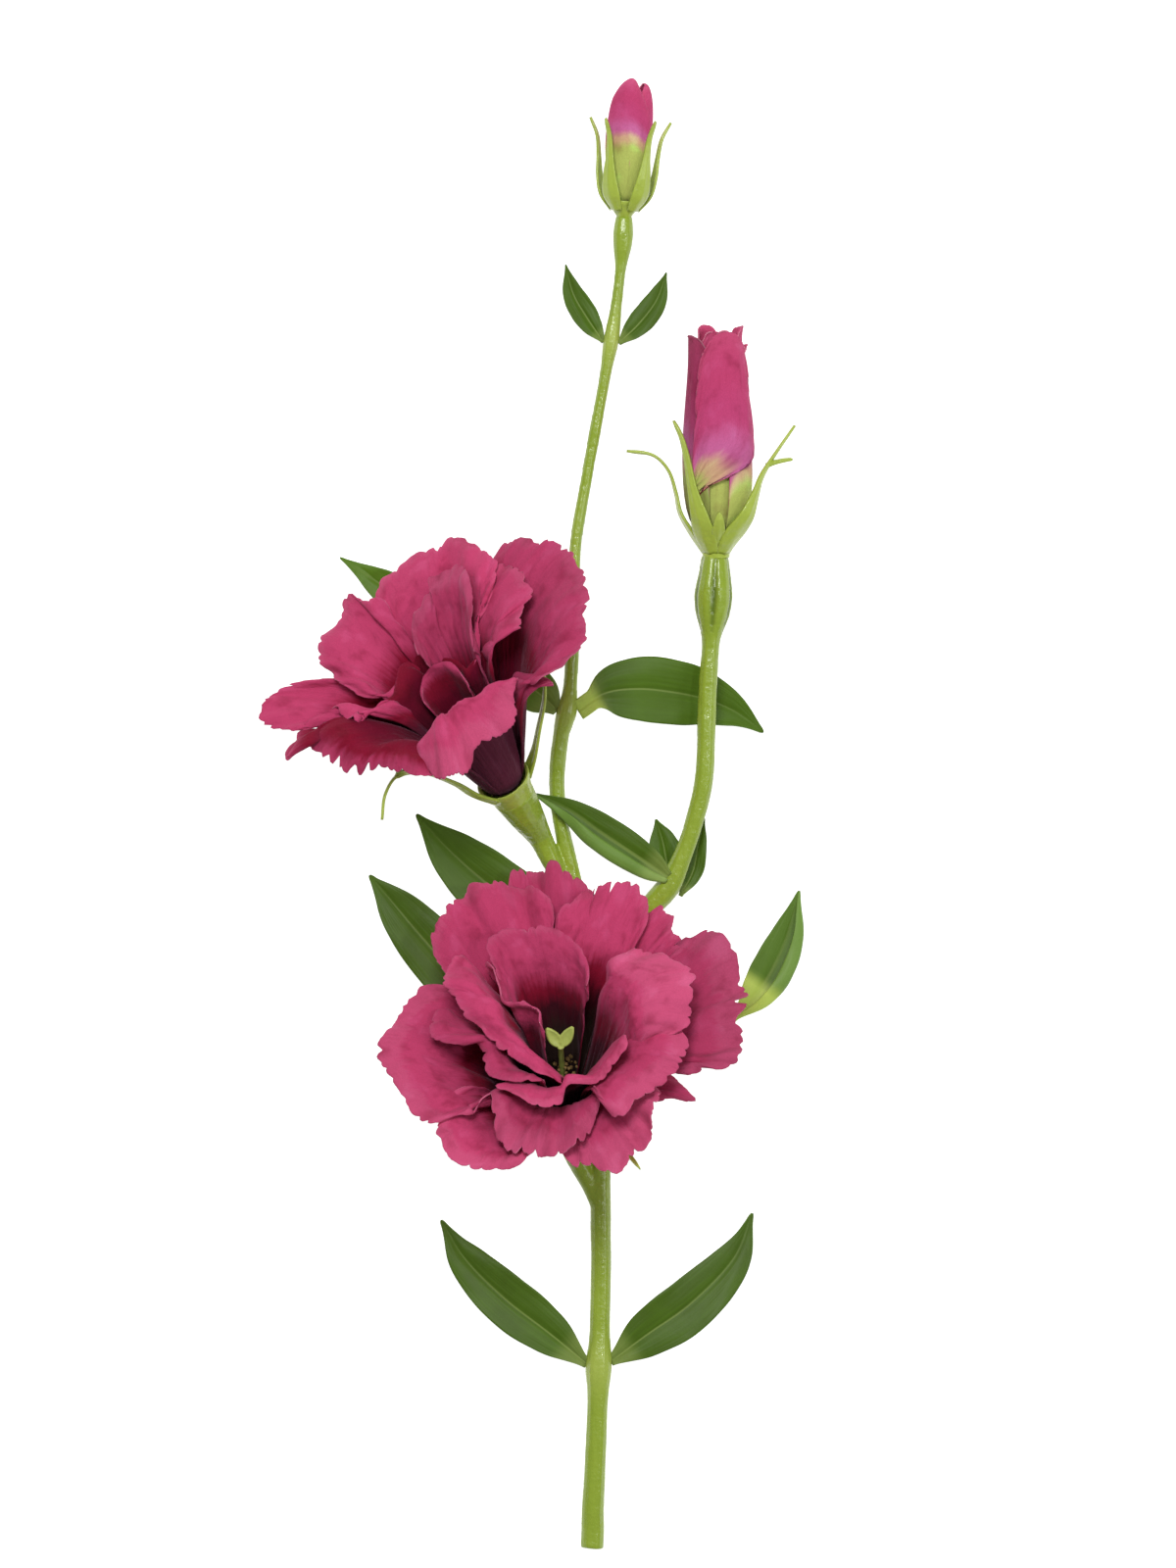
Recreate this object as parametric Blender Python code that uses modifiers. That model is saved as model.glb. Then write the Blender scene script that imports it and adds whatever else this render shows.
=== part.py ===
"""Cut lisianthus spray with fabric blooms and moulded stem and leaves, lying on its side.

Shapes are worked out in millimetres and stored in metres. The surface that the spray lies on
is z = 0, +Y runs up the stem and the open blooms look up and towards +Y.
"""
import math

import bmesh
import bpy
import numpy as np
from mathutils import Matrix, Vector

# Sheet that the plan positions are counted on: squares of 0.2 mm from its upper left corner,
# as they line up when looked down on from the eye's height.
SQUARE = 0.2
SHEET_MIDDLE = (600.0, 800.0)
EYE_HEIGHT = 1500.0

# The origin is the middle of the spray's bounding box, on the surface.
ORIGIN = (-10.333, -6.620, 0.0)

PETAL_THICKNESS = 0.65
LEAF_THICKNESS = 0.7
SEPAL_THICKNESS = 0.8
STEM_BEVEL = 2
STEM_STEP = 6.0
WELD = 0.001

# Petal shape: foot radius and belly radius of the inner, middle and outer layer. Feet step in by
# turns, so that neighbouring petals never share a face.
FOOT_RADIUS = (2.2, 3.1, 4.0)
FOOT_HEIGHT = 0.4
FOOT_STEP = 0.045
BELLY_RADIUS = (7.0, 8.4, 9.8)
TIP_ROUND = 0.16
PETAL_ACROSS = 5
FOLDED_ACROSS = 7
PETAL_ALONG = 5

COLOURS = {
    "stem": ((0.262, 0.456, 0.045), 0.38),
    "leaf": ((0.028, 0.110, 0.014), 0.45),
    "calyx": ((0.335, 0.500, 0.090), 0.42),
    "corolla": ((0.500, 0.050, 0.140), 0.85),
    "bud": ((0.470, 0.090, 0.150), 0.85),
    "pistil": ((0.400, 0.520, 0.100), 0.50),
}

# Stems: square across, square down, height above the surface, radius (mm)
MAIN_STEM = [
    (604, 1580, 2.35, 2.4), (605, 1562, 2.35, 2.4), (605, 1540, 3.0, 2.3), (607, 1500, 4.0, 2.2),
    (610, 1430, 4.8, 2.15),
    (611, 1395, 5.0, 2.7), (612, 1360, 5.0, 2.15), (613, 1300, 5.0, 2.1), (613, 1230, 5.0, 2.1),
    (612, 1150, 5.0, 2.1), (610, 1108, 5.0, 2.7), (607, 1065, 5.0, 2.1), (602, 1015, 5.0, 1.95),
    (596, 960, 5.0, 2.3), (591, 925, 5.0, 1.8), (584, 890, 5.1, 1.6), (575, 855, 5.4, 1.6),
    (568.5, 812, 5.8, 1.6), (569, 780, 6.2, 1.65), (573, 748, 6.6, 1.7), (578, 727, 6.9, 2.1),
    (582, 700, 7.0, 1.45), (585, 650, 7.0, 1.35), (585, 600, 7.0, 1.3), (587, 560, 7.0, 1.25),
    (591, 530, 7.0, 1.2), (600, 480, 7.2, 1.2), (609, 430, 7.6, 1.2), (618, 380, 7.9, 1.2),
    (624, 345, 8.1, 1.6), (629, 310, 8.3, 1.15), (633, 275, 8.5, 1.15), (635, 255, 8.6, 1.8),
    (636, 238, 8.7, 2.1), (637, 220, 8.9, 1.6),
]
SIDE_STEM = [
    (605, 1045, 5.0, 1.6), (622, 1005, 5.0, 1.75), (643, 963, 5.1, 1.8), (662, 928, 5.4, 2.3),
    (682, 905, 5.9, 2.5), (697, 872, 6.9, 1.9), (708, 840, 7.6, 1.9), (717, 803, 8.2, 1.95),
    (720, 765, 8.6, 1.9), (722, 705, 8.9, 1.9), (725, 660, 9.1, 1.8), (726, 645, 9.2, 2.3),
    (727, 628, 9.3, 3.5), (728, 608, 9.4, 4.0), (729, 588, 9.6, 3.4), (730, 567, 9.8, 2.7),
]

# Opened bloom on the left: where its petals start, and the way its throat looks
LEFT_BASE = (515.5, 798, 18.6)
LEFT_LOOK = (122.0, 40.0)
LEFT_STALK = [(588, 928, 5.0, 1.5), (575, 901, 5.3, 1.75), (562, 877, 6.4, 2.1)]
LEFT_FUNNEL = [(-17.0, 2.5), (-10.0, 3.7), (-3.6, 4.5)]

# Opened bloom at the front, low on the spray
LOWER_BASE = (576.5, 1138.5, 13.0)
LOWER_LOOK = (93.0, 57.0)
LOWER_STALK = [(613, 1235, 5.0, 1.7), (603, 1210, 5.2, 1.8), (589, 1184, 6.0, 2.1)]
LOWER_FUNNEL = [(-6.0, 2.9), (-3.6, 3.9)]

# Half-open bud on the side stem and closed bud at the tip
BUD_BASE = (731.0, 549.0, 10.2)
BUD_LOOK = (89.4, 6.0)
TOP_BASE = (637.6, 208.0, 9.2)
TOP_LOOK = (86.0, 5.0)


# Values for the cloth's fine edge and dye (frill, scallop, lobe, uneven, cuts, crease, tone,
# shade) are finer than these solids and are left out of them.
def petal(layer, ribs, **shape):
    """A petal: its rim as rows of angle about the throat (degrees), radius and height (mm)."""
    return dict(shape, layer=layer, ribs=ribs)


def seen_petal(layer, rim, **shape):
    """A petal: its rim as rows of square across, square down, and height out along the bloom (mm)."""
    return dict(shape, layer=layer, rim=rim)


LOWER_PETALS = [
    # Outer ring, from the upper left and round to the right
    seen_petal(2, [(458, 1008, 26), (443, 980, 27), (441, 960, 27), (448, 938, 28), (463, 917, 29),
                   (481, 905, 30), (502, 901, 30), (525, 899, 30), (549, 907, 31), (563, 922, 31),
                   (566, 942, 31)], waves=3.5, tone=0.92),
    seen_petal(2, [(494, 935, 25), (512, 905, 26), (531, 887, 27), (548, 888, 27), (565, 882, 28),
                   (583, 893, 28), (604, 908, 28), (622, 935, 26)], waves=1.5, ruffle=0.4, frill=0.25,
               tone=0.84),
    seen_petal(2, [(562, 944, 30), (570, 930, 30), (585, 921, 31), (597, 907, 31), (612, 902, 31),
                   (636, 901, 31), (653, 907, 31), (662, 920, 30), (661, 942, 29), (655, 962, 28)], waves=2,
               tone=0.95, frill=0.4, cuts=((-2.9, 0.4, 3.4), (0.4, 0.28, 3.2), (-3.8, 0.35, 1.6))),
    seen_petal(2, [(636, 955, 25), (658, 932, 26), (676, 925, 27), (686, 936, 27), (684, 951, 27),
                   (697, 957, 26), (708, 980, 25)], waves=1, ruffle=0.3, frill=0.15, scallop=0.3, lobe=5.0,
               tone=0.9),
    seen_petal(2, [(684, 988, 27), (698, 968, 28), (708, 956, 29), (723, 949, 29), (742, 965, 30),
                   (756, 990, 30), (761, 1013, 30), (757, 1036, 30), (759, 1060, 29), (750, 1083, 29),
                   (728, 1091, 28), (703, 1098, 28), (676, 1096, 26)], waves=4, tone=0.74, frill=0.5,
               shade=-0.08, cuts=((2.0, 0.9, 3.2),)),
    seen_petal(2, [(680, 1088, 23), (694, 1103, 24), (705, 1122, 24), (686, 1122, 24), (664, 1128, 23)],
               waves=0.5, ruffle=0.2, frill=0.15, scallop=0.4, belly=9.0, tone=0.75),
    seen_petal(2, [(672, 1098, 27), (675, 1118, 28), (666, 1136, 29), (662, 1160, 28), (649, 1181, 27),
                   (625, 1194, 27), (600, 1193, 27), (580, 1184, 26), (562, 1165, 25)],
               waves=2.5, frill=0.45, turn=0.45, arch=1.0, belly=11.0, shade=-0.10, tone=0.9),
    seen_petal(1, [(500, 1112, 29), (503, 1142, 29), (511, 1166, 29), (530, 1180, 29), (552, 1179, 29),
                   (573, 1177, 29), (594, 1166, 29), (607, 1142, 29), (612, 1112, 29)],
               waves=3, tone=0.84, turn=0.44, arch=0.5, belly=10.0, tip=0.05, frill=0.5, shade=-0.08),
    seen_petal(2, [(462, 1112, 26), (448, 1130, 27), (446, 1150, 28), (449, 1168, 27), (465, 1184, 27),
                   (488, 1193, 27), (514, 1192, 27), (536, 1184, 26), (556, 1168, 25)],
               waves=2.5, frill=0.45, flare=0.7, shade=-0.08),
    seen_petal(2, [(462, 990, 27), (450, 1003, 28), (430, 1011, 28), (410, 1026, 29), (400, 1050, 29),
                   (382, 1073, 29), (396, 1091, 29), (409, 1119, 29), (424, 1138, 29), (446, 1146, 29),
                   (472, 1137, 28), (494, 1118, 27)], waves=4, frill=0.5, flare=0.6, shade=-0.08,
               tone=0.93),
    # Folded petals round the throat
    seen_petal(1, [(446, 1026, 31), (436, 1040, 32), (437, 1056, 32), (452, 1061, 32), (470, 1065, 32),
                   (487, 1069, 32), (497, 1088, 32), (512, 1102, 32), (532, 1104, 32), (556, 1104, 32)],
               waves=2, turn=0.62, arch=4, belly=9.0, tip=0.05, ruffle=0.6, frill=0.4, tone=0.82),
    seen_petal(1, [(672, 1040, 33), (693, 1048, 34), (702, 1065, 34), (699, 1083, 34), (686, 1094, 33),
                   (668, 1112, 33), (650, 1126, 33), (632, 1138, 33), (616, 1131, 33), (611, 1112, 33)],
               waves=1.5, turn=0.55, arch=3, tip=0.05, ruffle=0.5, frill=0.35, tone=0.92, shade=-0.08),
    seen_petal(0, [(502, 1000, 35), (498, 976, 36), (500, 957, 37), (513, 951, 38), (531, 947, 38),
                   (550, 946, 38), (570, 950, 38), (586, 960, 38), (598, 976, 38), (602, 998, 37)], waves=2,
               arch=0, ruffle=0.4, frill=0.4, belly=9.5, tone=0.84),
    seen_petal(0, [(628, 985, 34), (638, 972, 35), (653, 970, 36), (669, 971, 36), (685, 975, 37),
                   (699, 986, 37), (708, 1002, 37), (709, 1022, 37), (704, 1042, 36), (688, 1057, 35),
                   (662, 1064, 34)], waves=2, turn=0.40, arch=7, ruffle=0.4, frill=0.35, belly=12.5,
               tip=0.05, shade=-0.22),
    seen_petal(0, [(470, 972, 34), (456, 984, 35), (452, 1002, 36), (466, 1020, 36), (478, 1041, 36),
                   (499, 1060, 35), (521, 1078, 35), (545, 1093, 34), (575, 1103, 33)], waves=1.5,
               turn=0.54, arch=6, ruffle=0.3, frill=0.3, belly=6.5, tip=0.03),
    seen_petal(0, [(503, 1106, 33), (526, 1117, 33), (546, 1129, 33), (572, 1125, 33), (581, 1107, 34),
                   (608, 1105, 34), (622, 1092, 35), (634, 1076, 36), (641, 1056, 36)],
               waves=1.5, turn=0.80, arch=2.5, ruffle=0.3, frill=0.3, tip=0.03, shade=-0.05),
    seen_petal(0, [(488, 976, 34), (500, 985, 35), (509, 1004, 36), (517, 1022, 37), (535, 1024, 37),
                   (548, 1034, 36), (554, 1052, 35)], waves=1.5, arch=0, ruffle=0.3, frill=0.3, belly=5.0,
               flare=0.85, tone=0.85, shade=-0.04),
]

LEFT_PETALS = [
    # Back and sides, from the left and over the top
    seen_petal(2, [(412, 672, 27), (404, 694, 27), (388, 709, 28), (368, 710, 29), (348, 699, 31),
                   (336, 686, 32), (325, 671, 33), (329, 654, 33), (344, 638, 33), (346, 616, 34),
                   (356, 604, 34), (367, 612, 34), (381, 597, 34)], waves=2.5, ruffle=0.5, frill=0.35,
               tone=0.94),
    seen_petal(2, [(366, 615, 31), (380, 599, 32), (393, 586, 33), (416, 570, 34), (440, 559, 35),
                   (461, 550, 35), (484, 556, 36), (501, 566, 36), (506, 581, 35), (504, 600, 34),
                   (496, 618, 33), (488, 636, 32), (484, 662, 30)], waves=1.5, ruffle=0.5, frill=0.3,
               cuts=((-8.8, 0.5, 2.4),)),
    seen_petal(1, [(424, 662, 32), (417, 630, 34), (428, 619, 35), (439, 603, 36), (439, 589, 37),
                   (456, 581, 37), (471, 579, 37), (480, 591, 37), (484, 615, 36), (483, 650, 34)], waves=1,
               arch=0, ruffle=0.3, frill=0.2, crease=0.22, tone=0.77, shade=-0.1),
    seen_petal(2, [(482, 612, 27), (496, 582, 30), (510, 559, 33), (530, 552, 33), (548, 556, 33),
                   (567, 549, 33), (585, 567, 32), (597, 590, 32), (600, 612, 31), (598, 636, 30),
                   (592, 657, 29), (573, 680, 28), (550, 693, 27), (530, 690, 25)], waves=3, tone=0.80,
               ruffle=0.7, frill=0.45, belly=11.2),
    seen_petal(1, [(500, 600, 32), (505, 581, 34), (519, 577, 34), (534, 585, 34), (543, 602, 34),
                   (534, 620, 33), (532, 640, 33), (512, 648, 31), (498, 659, 29)], waves=1.5, ruffle=0.5,
               frill=0.35, turn=0.45, arch=2, tone=0.92, tip=0.05),
    # Folded lip in front with the dark tube beside it, and the sliver behind it
    seen_petal(2, [(528, 690, 28), (524, 712, 26), (525, 736, 25), (508, 750, 25), (486, 764, 25),
                   (475, 786, 25), (462, 793, 26), (447, 792, 26), (433, 783, 26), (423, 765, 26)], waves=1,
               turn=0.28, arch=13, belly=8.0, lean=0.5, ruffle=0.2, frill=0.12, uneven=0.3, tip=0.0,
               shade=-0.06, scallop=0.35, tone=0.93),
    seen_petal(2, [(530, 682, 25), (548, 689, 25), (565, 699, 25), (546, 694, 24), (528, 693, 23)], waves=0.5,
               ruffle=0.2, frill=0.1, scallop=0.2, belly=10.6, tone=0.7),
    # Left side: fringed hem and the long petal over it
    seen_petal(2, [(448, 792, 25), (430, 791, 26), (410, 785, 26), (385, 786, 26), (362, 790, 26),
                   (342, 782, 27), (326, 768, 28), (312, 759, 28), (303, 763, 28), (291, 779, 28),
                   (295, 764, 28), (303, 748, 28)], waves=2, turn=0.80, arch=7, belly=7.5, lean=0.45,
               ruffle=0.4, frill=0.5, tip=0.02, shade=0.28, tone=0.88, lobe=2.2, scallop=1.3,
               cuts=((-9.3, 0.8, 3.4), (-6.4, 0.9, 3.6), (-2.1, 0.6, 3.0), (-0.3, 0.5, 2.0))),
    seen_petal(2, [(352, 690, 29), (328, 692, 30), (302, 697, 30), (278, 710, 29), (266, 727, 29),
                   (282, 744, 28), (303, 748, 28), (322, 732, 29), (345, 723, 30), (354, 735, 30),
                   (370, 728, 30), (378, 712, 29)], waves=2, belly=8.0, ruffle=0.4, frill=0.4, lobe=2.3,
               scallop=1.3, shade=0.08),
    # Lobe low in the throat, the dark red inside behind it and the petal to its left
    seen_petal(0, [(437, 722, 24), (429, 703, 26), (433, 687, 27), (449, 678, 28), (466, 682, 28),
                   (477, 697, 27)], waves=1, arch=0, ruffle=0.3, frill=0.15, scallop=0.3, tone=0.8,
               shade=0.18),
    seen_petal(0, [(402, 702, 25), (410, 678, 26), (425, 667, 27), (441, 667, 27), (457, 671, 27),
                   (475, 682, 27), (485, 672, 28), (497, 660, 28), (508, 650, 28)], waves=1, arch=0,
               ruffle=0.3, frill=0.1, scallop=0.2, belly=6.0, tone=0.8, shade=0.42),
    seen_petal(1, [(376, 725, 28), (388, 717, 28), (399, 707, 28), (404, 692, 28), (411, 680, 28),
                   (419, 673, 27)], waves=0.5, arch=0, ruffle=0.2, frill=0.1, scallop=0.2, belly=7.4,
               tone=0.8, shade=0.40),
]

BUD_PETALS = [
    petal(2, [(228, 6.2, 36), (258, 6.0, 41), (290, 6.0, 42), (322, 5.8, 40), (356, 5.4, 35)], waves=2,
          shoulder=4.9, hem=(0.31, 0.50, 0.06)),
    petal(2, [(112, 5.8, 35), (150, 6.2, 39), (190, 6.4, 41), (226, 5.8, 40), (256, 5.2, 36)], belly=11.2,
          shoulder=4.3, waves=2.5, tone=0.62),
    petal(2, [(290, 5.6, 34), (335, 5.8, 38), (20, 5.8, 39), (70, 5.8, 39), (125, 5.4, 35)], belly=12.9,
          shoulder=2.4, waves=3),
    petal(1, [(205, 4.8, 38), (255, 5.0, 42), (305, 4.6, 40)], belly=9.6, shoulder=3.8, waves=2),
    petal(1, [(310, 4.2, 39), (0, 4.6, 43), (60, 4.4, 42)], belly=9.2, shoulder=3.7, waves=2),
    petal(1, [(70, 4.2, 39), (125, 4.6, 43), (180, 4.4, 41)], belly=8.8, shoulder=3.6, waves=2),
]
BUD_FORM = dict(arch=0.0, ruffle=0.25, lean=3.0, belly=12.0, shoulder=4.6, slim=0.55, neck=0.04, across=3,
                along=5)

TOP_PETALS = [
    petal(1, [(150, 1.9, 20), (210, 2.1, 24), (270, 2.1, 25), (330, 1.8, 21)], waves=1),
    petal(1, [(274, 1.8, 19), (333, 2.2, 23), (34, 2.3, 24), (93, 1.9, 20)], belly=5.2, waves=1),
    petal(1, [(27, 1.6, 20), (86, 1.6, 23), (145, 1.6, 23), (206, 1.5, 20)], belly=4.9, waves=1),
]
TOP_FORM = dict(arch=0.0, ruffle=0.2, lean=3.0, belly=5.5, slim=0.8, across=3, along=4)

# Sepals: angle about the throat, then radius and height along the blade (mm), half width
SEPAL_HALF_WIDTHS = [1.5, 1.35, 1.1, 0.8, 0.5, 0.3]
WIDE_SEPAL_HALF_WIDTHS = [1.9, 1.9, 1.6, 1.1, 0.7, 0.45, 0.3]
LEFT_SEPALS = [
    [(222, 4.8, -1.2), (211, 7.8, 4.5), (202, 9.4, 9.5), (188, 12.6, 14.5), (178, 17.0, 15.8),
     (181, 21.5, 14.2), (186, 25.0, 10.8)],
    [(0, 4.8, -1.2), (352, 8.3, 3.5), (352, 11.6, 8.5), (354, 15.2, 13.5), (356, 17.4, 17.5),
     (358, 18.6, 21.0)],
    [(60, 4.9, -1.2), (60, 9.1, 4.5), (60, 12.8, 10.0), (62, 18.5, 14.5), (64, 24.0, 18.0), (66, 28.5, 20.5)],
    [(128, 4.9, -1.2), (128, 9.1, 4.5), (128, 12.8, 10.0), (126, 18.0, 14.0), (124, 23.5, 17.0),
     (122, 28.0, 19.5)],
]
LOWER_SEPAL_ANGLES = (12, 66, 138, 212, 300)
LOWER_SEPAL_PROFILE = [(4.8, -1.2), (9.0, 4.5), (12.6, 10.5), (18.0, 16.0), (23.5, 19.5), (29.0, 20.5)]
BUD_SEPALS = [
    [(184, 2.5, -3.0), (184, 5.3, 1.0), (184, 7.5, 5.0), (182, 8.3, 9.0), (180, 9.8, 13.5), (178, 13.0, 16.6),
     (177, 18.4, 17.4)],
    [(241, 2.5, -3.0), (241, 5.45, 1.0), (241, 7.6, 5.0), (233, 8.5, 10.5), (226, 9.0, 16.4),
     (219, 9.5, 20.6), (210, 10.4, 24.0)],
    [(307, 2.5, -3.0), (309, 5.8, 1.0), (315, 8.6, 5.0), (326, 9.3, 9.3), (337, 9.7, 12.8), (350, 11.4, 16.6),
     (0, 15.6, 23.0)],
    [(35, 2.5, -3.0), (36, 5.5, 1.0), (40, 8.3, 5.0), (48, 9.2, 9.5), (56, 9.4, 14.0), (63, 9.5, 17.5),
     (68, 9.6, 20.5)],
    [(112, 2.5, -3.0), (112, 5.5, 1.0), (114, 8.3, 5.0), (118, 9.2, 9.5), (122, 9.6, 14.0), (124, 9.9, 18.0),
     (126, 10.3, 21.5)],
]
BUD_SEPAL_HALF_WIDTHS = [1.7, 2.5, 1.9, 1.1, 0.75, 0.5, 0.35]
BUD_FORK = [(344, 10.2, 14.9), (349, 11.8, 15.6), (354, 13.5, 16.0), (358, 15.2, 16.2)]
BUD_FORK_HALF_WIDTHS = [0.5, 0.45, 0.4, 0.3]
BUD_BRACT = [(273, 3.7, -0.9), (273, 5.8, 1.5), (273, 7.3, 3.8), (273, 7.9, 5.8)]
BUD_BRACT_HALF_WIDTHS = [0.9, 1.3, 1.0, 0.3]
TOP_SEPAL_ANGLES = (18, 90, 162, 234, 306)
TOP_SEPAL_PROFILE = [(2.8, -1.3), (5.1, 1.6), (6.0, 5.5), (6.3, 9.5), (6.9, 13.5), (8.6, 17.0)]
TOP_SEPAL_HALF_WIDTHS = [1.2, 2.0, 1.5, 0.8, 0.5, 0.3]

# Leaves: midrib points (square across, square down, height), half width (mm), roll (degrees)
# and how much of the midrib is bare stalk
LEAVES = {
    "leaf_upper_left": ([(564.5, 721, 7.2), (548, 706, 6.6), (500, 670, 5.0), (440, 630, 2.6),
                         (390, 597, 0.7), (366, 581, 0.1), (347, 569, 0.1)], 5.2, 0, 0.0),
    "leaf_upper_right": ([(594.5, 722, 7.2), (617, 707.5, 7.2), (650, 703, 6.3), (684, 706, 5.0),
                          (718, 713, 3.2), (750, 726, 1.2), (779, 747, 0.1)], 6.8, 0, 0.1),
    "leaf_bud_left": ([(677, 892, 8.3), (645, 870, 9.4), (612, 848, 9.6), (582, 827, 9.3), (546, 810, 8.6)],
                      3.9, 8, 0.0),
    "leaf_bud_back": ([(682, 896, 2.9), (680, 880, 2.8), (676, 858, 2.7), (669, 836, 2.6)], 3.5, 0, 0.0),
    "leaf_bud_right": ([(697, 909, 3.8), (707, 889, 3.3), (712.5, 862, 3.2), (719, 835, 3.4)], 2.1, -10, 0.0),
    "leaf_middle_left": ([(592.5, 1102, 5.0), (545, 1070, 4.8), (485, 1017, 4.4), (432, 958, 3.6),
                          (400, 920, 3.0), (377, 893, 2.6)], 6.4, 0, 0.0),
    "leaf_inner_left": ([(580, 958, 4.8), (545, 936, 4.8), (500, 904, 4.8), (458, 867, 4.4), (425, 831, 3.8)],
                        6.9, 0, 0.0),
    "leaf_middle_right": ([(626, 1106, 5.0), (690, 1076, 5.0), (746, 1040, 5.0), (778, 1005, 4.6),
                           (801, 960, 3.8), (815, 909, 3.0)], 4.3, 10, 0.42),
    "leaf_base_left": ([(594.7, 1388, 5.0), (560, 1360, 5.4), (515, 1325, 5.0), (475, 1285, 3.8),
                        (450, 1245, 2.6)], 5.4, 0, 0.0),
    "leaf_base_right": ([(627.5, 1386, 5.0), (660, 1362, 5.6), (705, 1330, 5.4), (748, 1285, 4.2),
                         (768, 1238, 2.8)], 5.6, 0, 0.0),
    "leaf_top_left": ([(612.5, 344, 8.0), (600, 326, 7.8), (585, 300, 6.8), (577, 270, 5.6)], 2.6, 0, 0.0),
    "leaf_top_right": ([(635.5, 346, 8.0), (652, 330, 7.8), (670, 306, 6.8), (680, 278, 5.6)], 2.6, 0, 0.0),
}
LEAF_OUTLINE = [(0.0, 0.13), (0.08, 0.36), (0.2, 0.76), (0.38, 1.0), (0.58, 0.94), (0.76, 0.66), (0.9, 0.25),
                (1.0, 0.03)]
BLUNT_OUTLINE = [(0.0, 0.18), (0.03, 0.45), (0.09, 0.72), (0.19, 0.89), (0.28, 0.97), (0.37, 1.0),
                 (0.56, 0.92), (0.77, 0.57), (0.88, 0.30), (1.0, 0.03)]
SLIM_OUTLINE = [(0.0, 0.13), (0.06, 0.50), (0.15, 0.85), (0.3, 1.0), (0.6, 0.78), (0.78, 0.36), (0.9, 0.15),
                (1.0, 0.03)]
LEAF_OUTLINES = {"leaf_upper_right": BLUNT_OUTLINE, "leaf_bud_left": BLUNT_OUTLINE,
                 "leaf_upper_left": SLIM_OUTLINE}
LEAF_FOLD = 0.22
LEAF_ROWS = 8
SEPAL_ROWS = 6

# Stigma lobes: the way they lean (to the side, over, out), the way their flat faces look, radii
LOBE_LEAN = (0.50, 0.42, 0.70)
LOBE_FACE = (0.0, -0.5, 0.85)
LOBE_RADII = (1.15, 0.5, 2.5)


def seen(across, down, height):
    """World point (mm) that lines up with a square of the sheet, at a height above it."""
    scale = SQUARE * (EYE_HEIGHT - height) / EYE_HEIGHT
    return np.array([(across - SHEET_MIDDLE[0]) * scale, (SHEET_MIDDLE[1] - down) * scale, height])


def look_frame(base, look):
    """Base point and the three axes of a bloom: to its side, over its throat, out along it."""
    turn, rise = (math.radians(angle) for angle in look)
    axis = np.array([math.cos(turn) * math.cos(rise), math.sin(turn) * math.cos(rise), math.sin(rise)])
    side = np.array([math.sin(turn), -math.cos(turn), 0.0])
    return seen(*base), np.array([side, np.cross(axis, side), axis])


def through(rows, place):
    """Smooth curve through evenly spaced rows, at places from 0 to the last row's number."""
    rows = np.asarray(rows, float)
    place = np.clip(np.asarray(place, float), 0, len(rows) - 1)
    index = np.minimum(place.astype(int), len(rows) - 2)
    t = (place - index)[..., None]
    ends = np.vstack([2 * rows[0] - rows[1], rows, 2 * rows[-1] - rows[-2]])
    a, b, c, d = ends[index], ends[index + 1], ends[index + 2], ends[index + 3]
    return b + 0.5 * ((c - a) * t + (2 * a - 5 * b + 4 * c - d) * t**2 + (3 * b - a - 3 * c + d) * t**3)


def ribs_under(rim, place):
    """A rim's rows on the sheet, as rows of angle about the throat, radius and height."""
    origin, axes = place
    ribs = []
    for across, down, height in rim:
        low = seen(across, down, 0.0)
        rise = seen(across, down, 1.0) - low
        point = low + rise * (height - (low - origin) @ axes[2]) / (rise @ axes[2])
        side, over, _ = axes @ (point - origin)
        ribs.append((math.degrees(math.atan2(over, side)), math.hypot(side, over), height))
    return ribs


def petal_surface(shape, u, v):
    """Points of a petal before its ruffles: u from -1 to 1 across it, v from 0 to 1 along it."""
    ribs = np.array(shape["ribs"], float)
    ribs[:, 0] = np.degrees(np.unwrap(np.radians(ribs[:, 0])))
    rib = through(ribs, (u + 1) / 2 * (len(ribs) - 1))
    angle, radius, height = np.radians(rib[..., 0]), rib[..., 1], rib[..., 2] + shape.get("lift", 0.0)
    layer = shape["layer"]
    foot = shape.get("foot", FOOT_RADIUS[layer])
    belly = np.minimum(shape.get("belly", BELLY_RADIUS[layer]), radius * shape.get("lean", 0.8))
    fold = 1 - np.abs(u) ** 4 if "turn" in shape else 1.0
    crest = height + shape.get("arch", 2.0) * fold
    t = v * (1 - shape.get("tip", TIP_ROUND) * np.abs(u) ** 9)
    if "hem" in shape:
        start, stop, least = shape["hem"]
        opened = np.clip((t - start) / (stop - start), 0, 1)
        first = math.radians(ribs[0, 0])
        angle = first + (angle - first) * (least + (1 - least) * opened**2 * (3 - 2 * opened))
    if "turn" in shape:
        weights = ((1 - t) ** 4, 4 * t * (1 - t) ** 3, 6 * t**2 * (1 - t) ** 2, 4 * t**3 * (1 - t), t**4)
        radii = (foot, belly, belly, (shape["turn"] * fold + 0.95 * (1 - fold)) * radius, radius)
        heights = (FOOT_HEIGHT, 0.3 * crest, 0.85 * crest, crest, height)
    else:
        weights = ((1 - t) ** 3, 3 * t * (1 - t) ** 2, 3 * t**2 * (1 - t), t**3)
        shoulder = shape.get("shoulder", np.maximum(belly, foot + shape.get("flare", 0.45) * (radius - foot)))
        radii = (foot, belly, shoulder, radius)
        heights = (FOOT_HEIGHT, shape.get("neck", 0.42) * crest, crest, height)
    out = sum(w * r for w, r in zip(weights, radii))
    up = sum(w * h for w, h in zip(weights, heights))
    return np.stack([out * np.cos(angle), out * np.sin(angle), up], -1)


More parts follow.
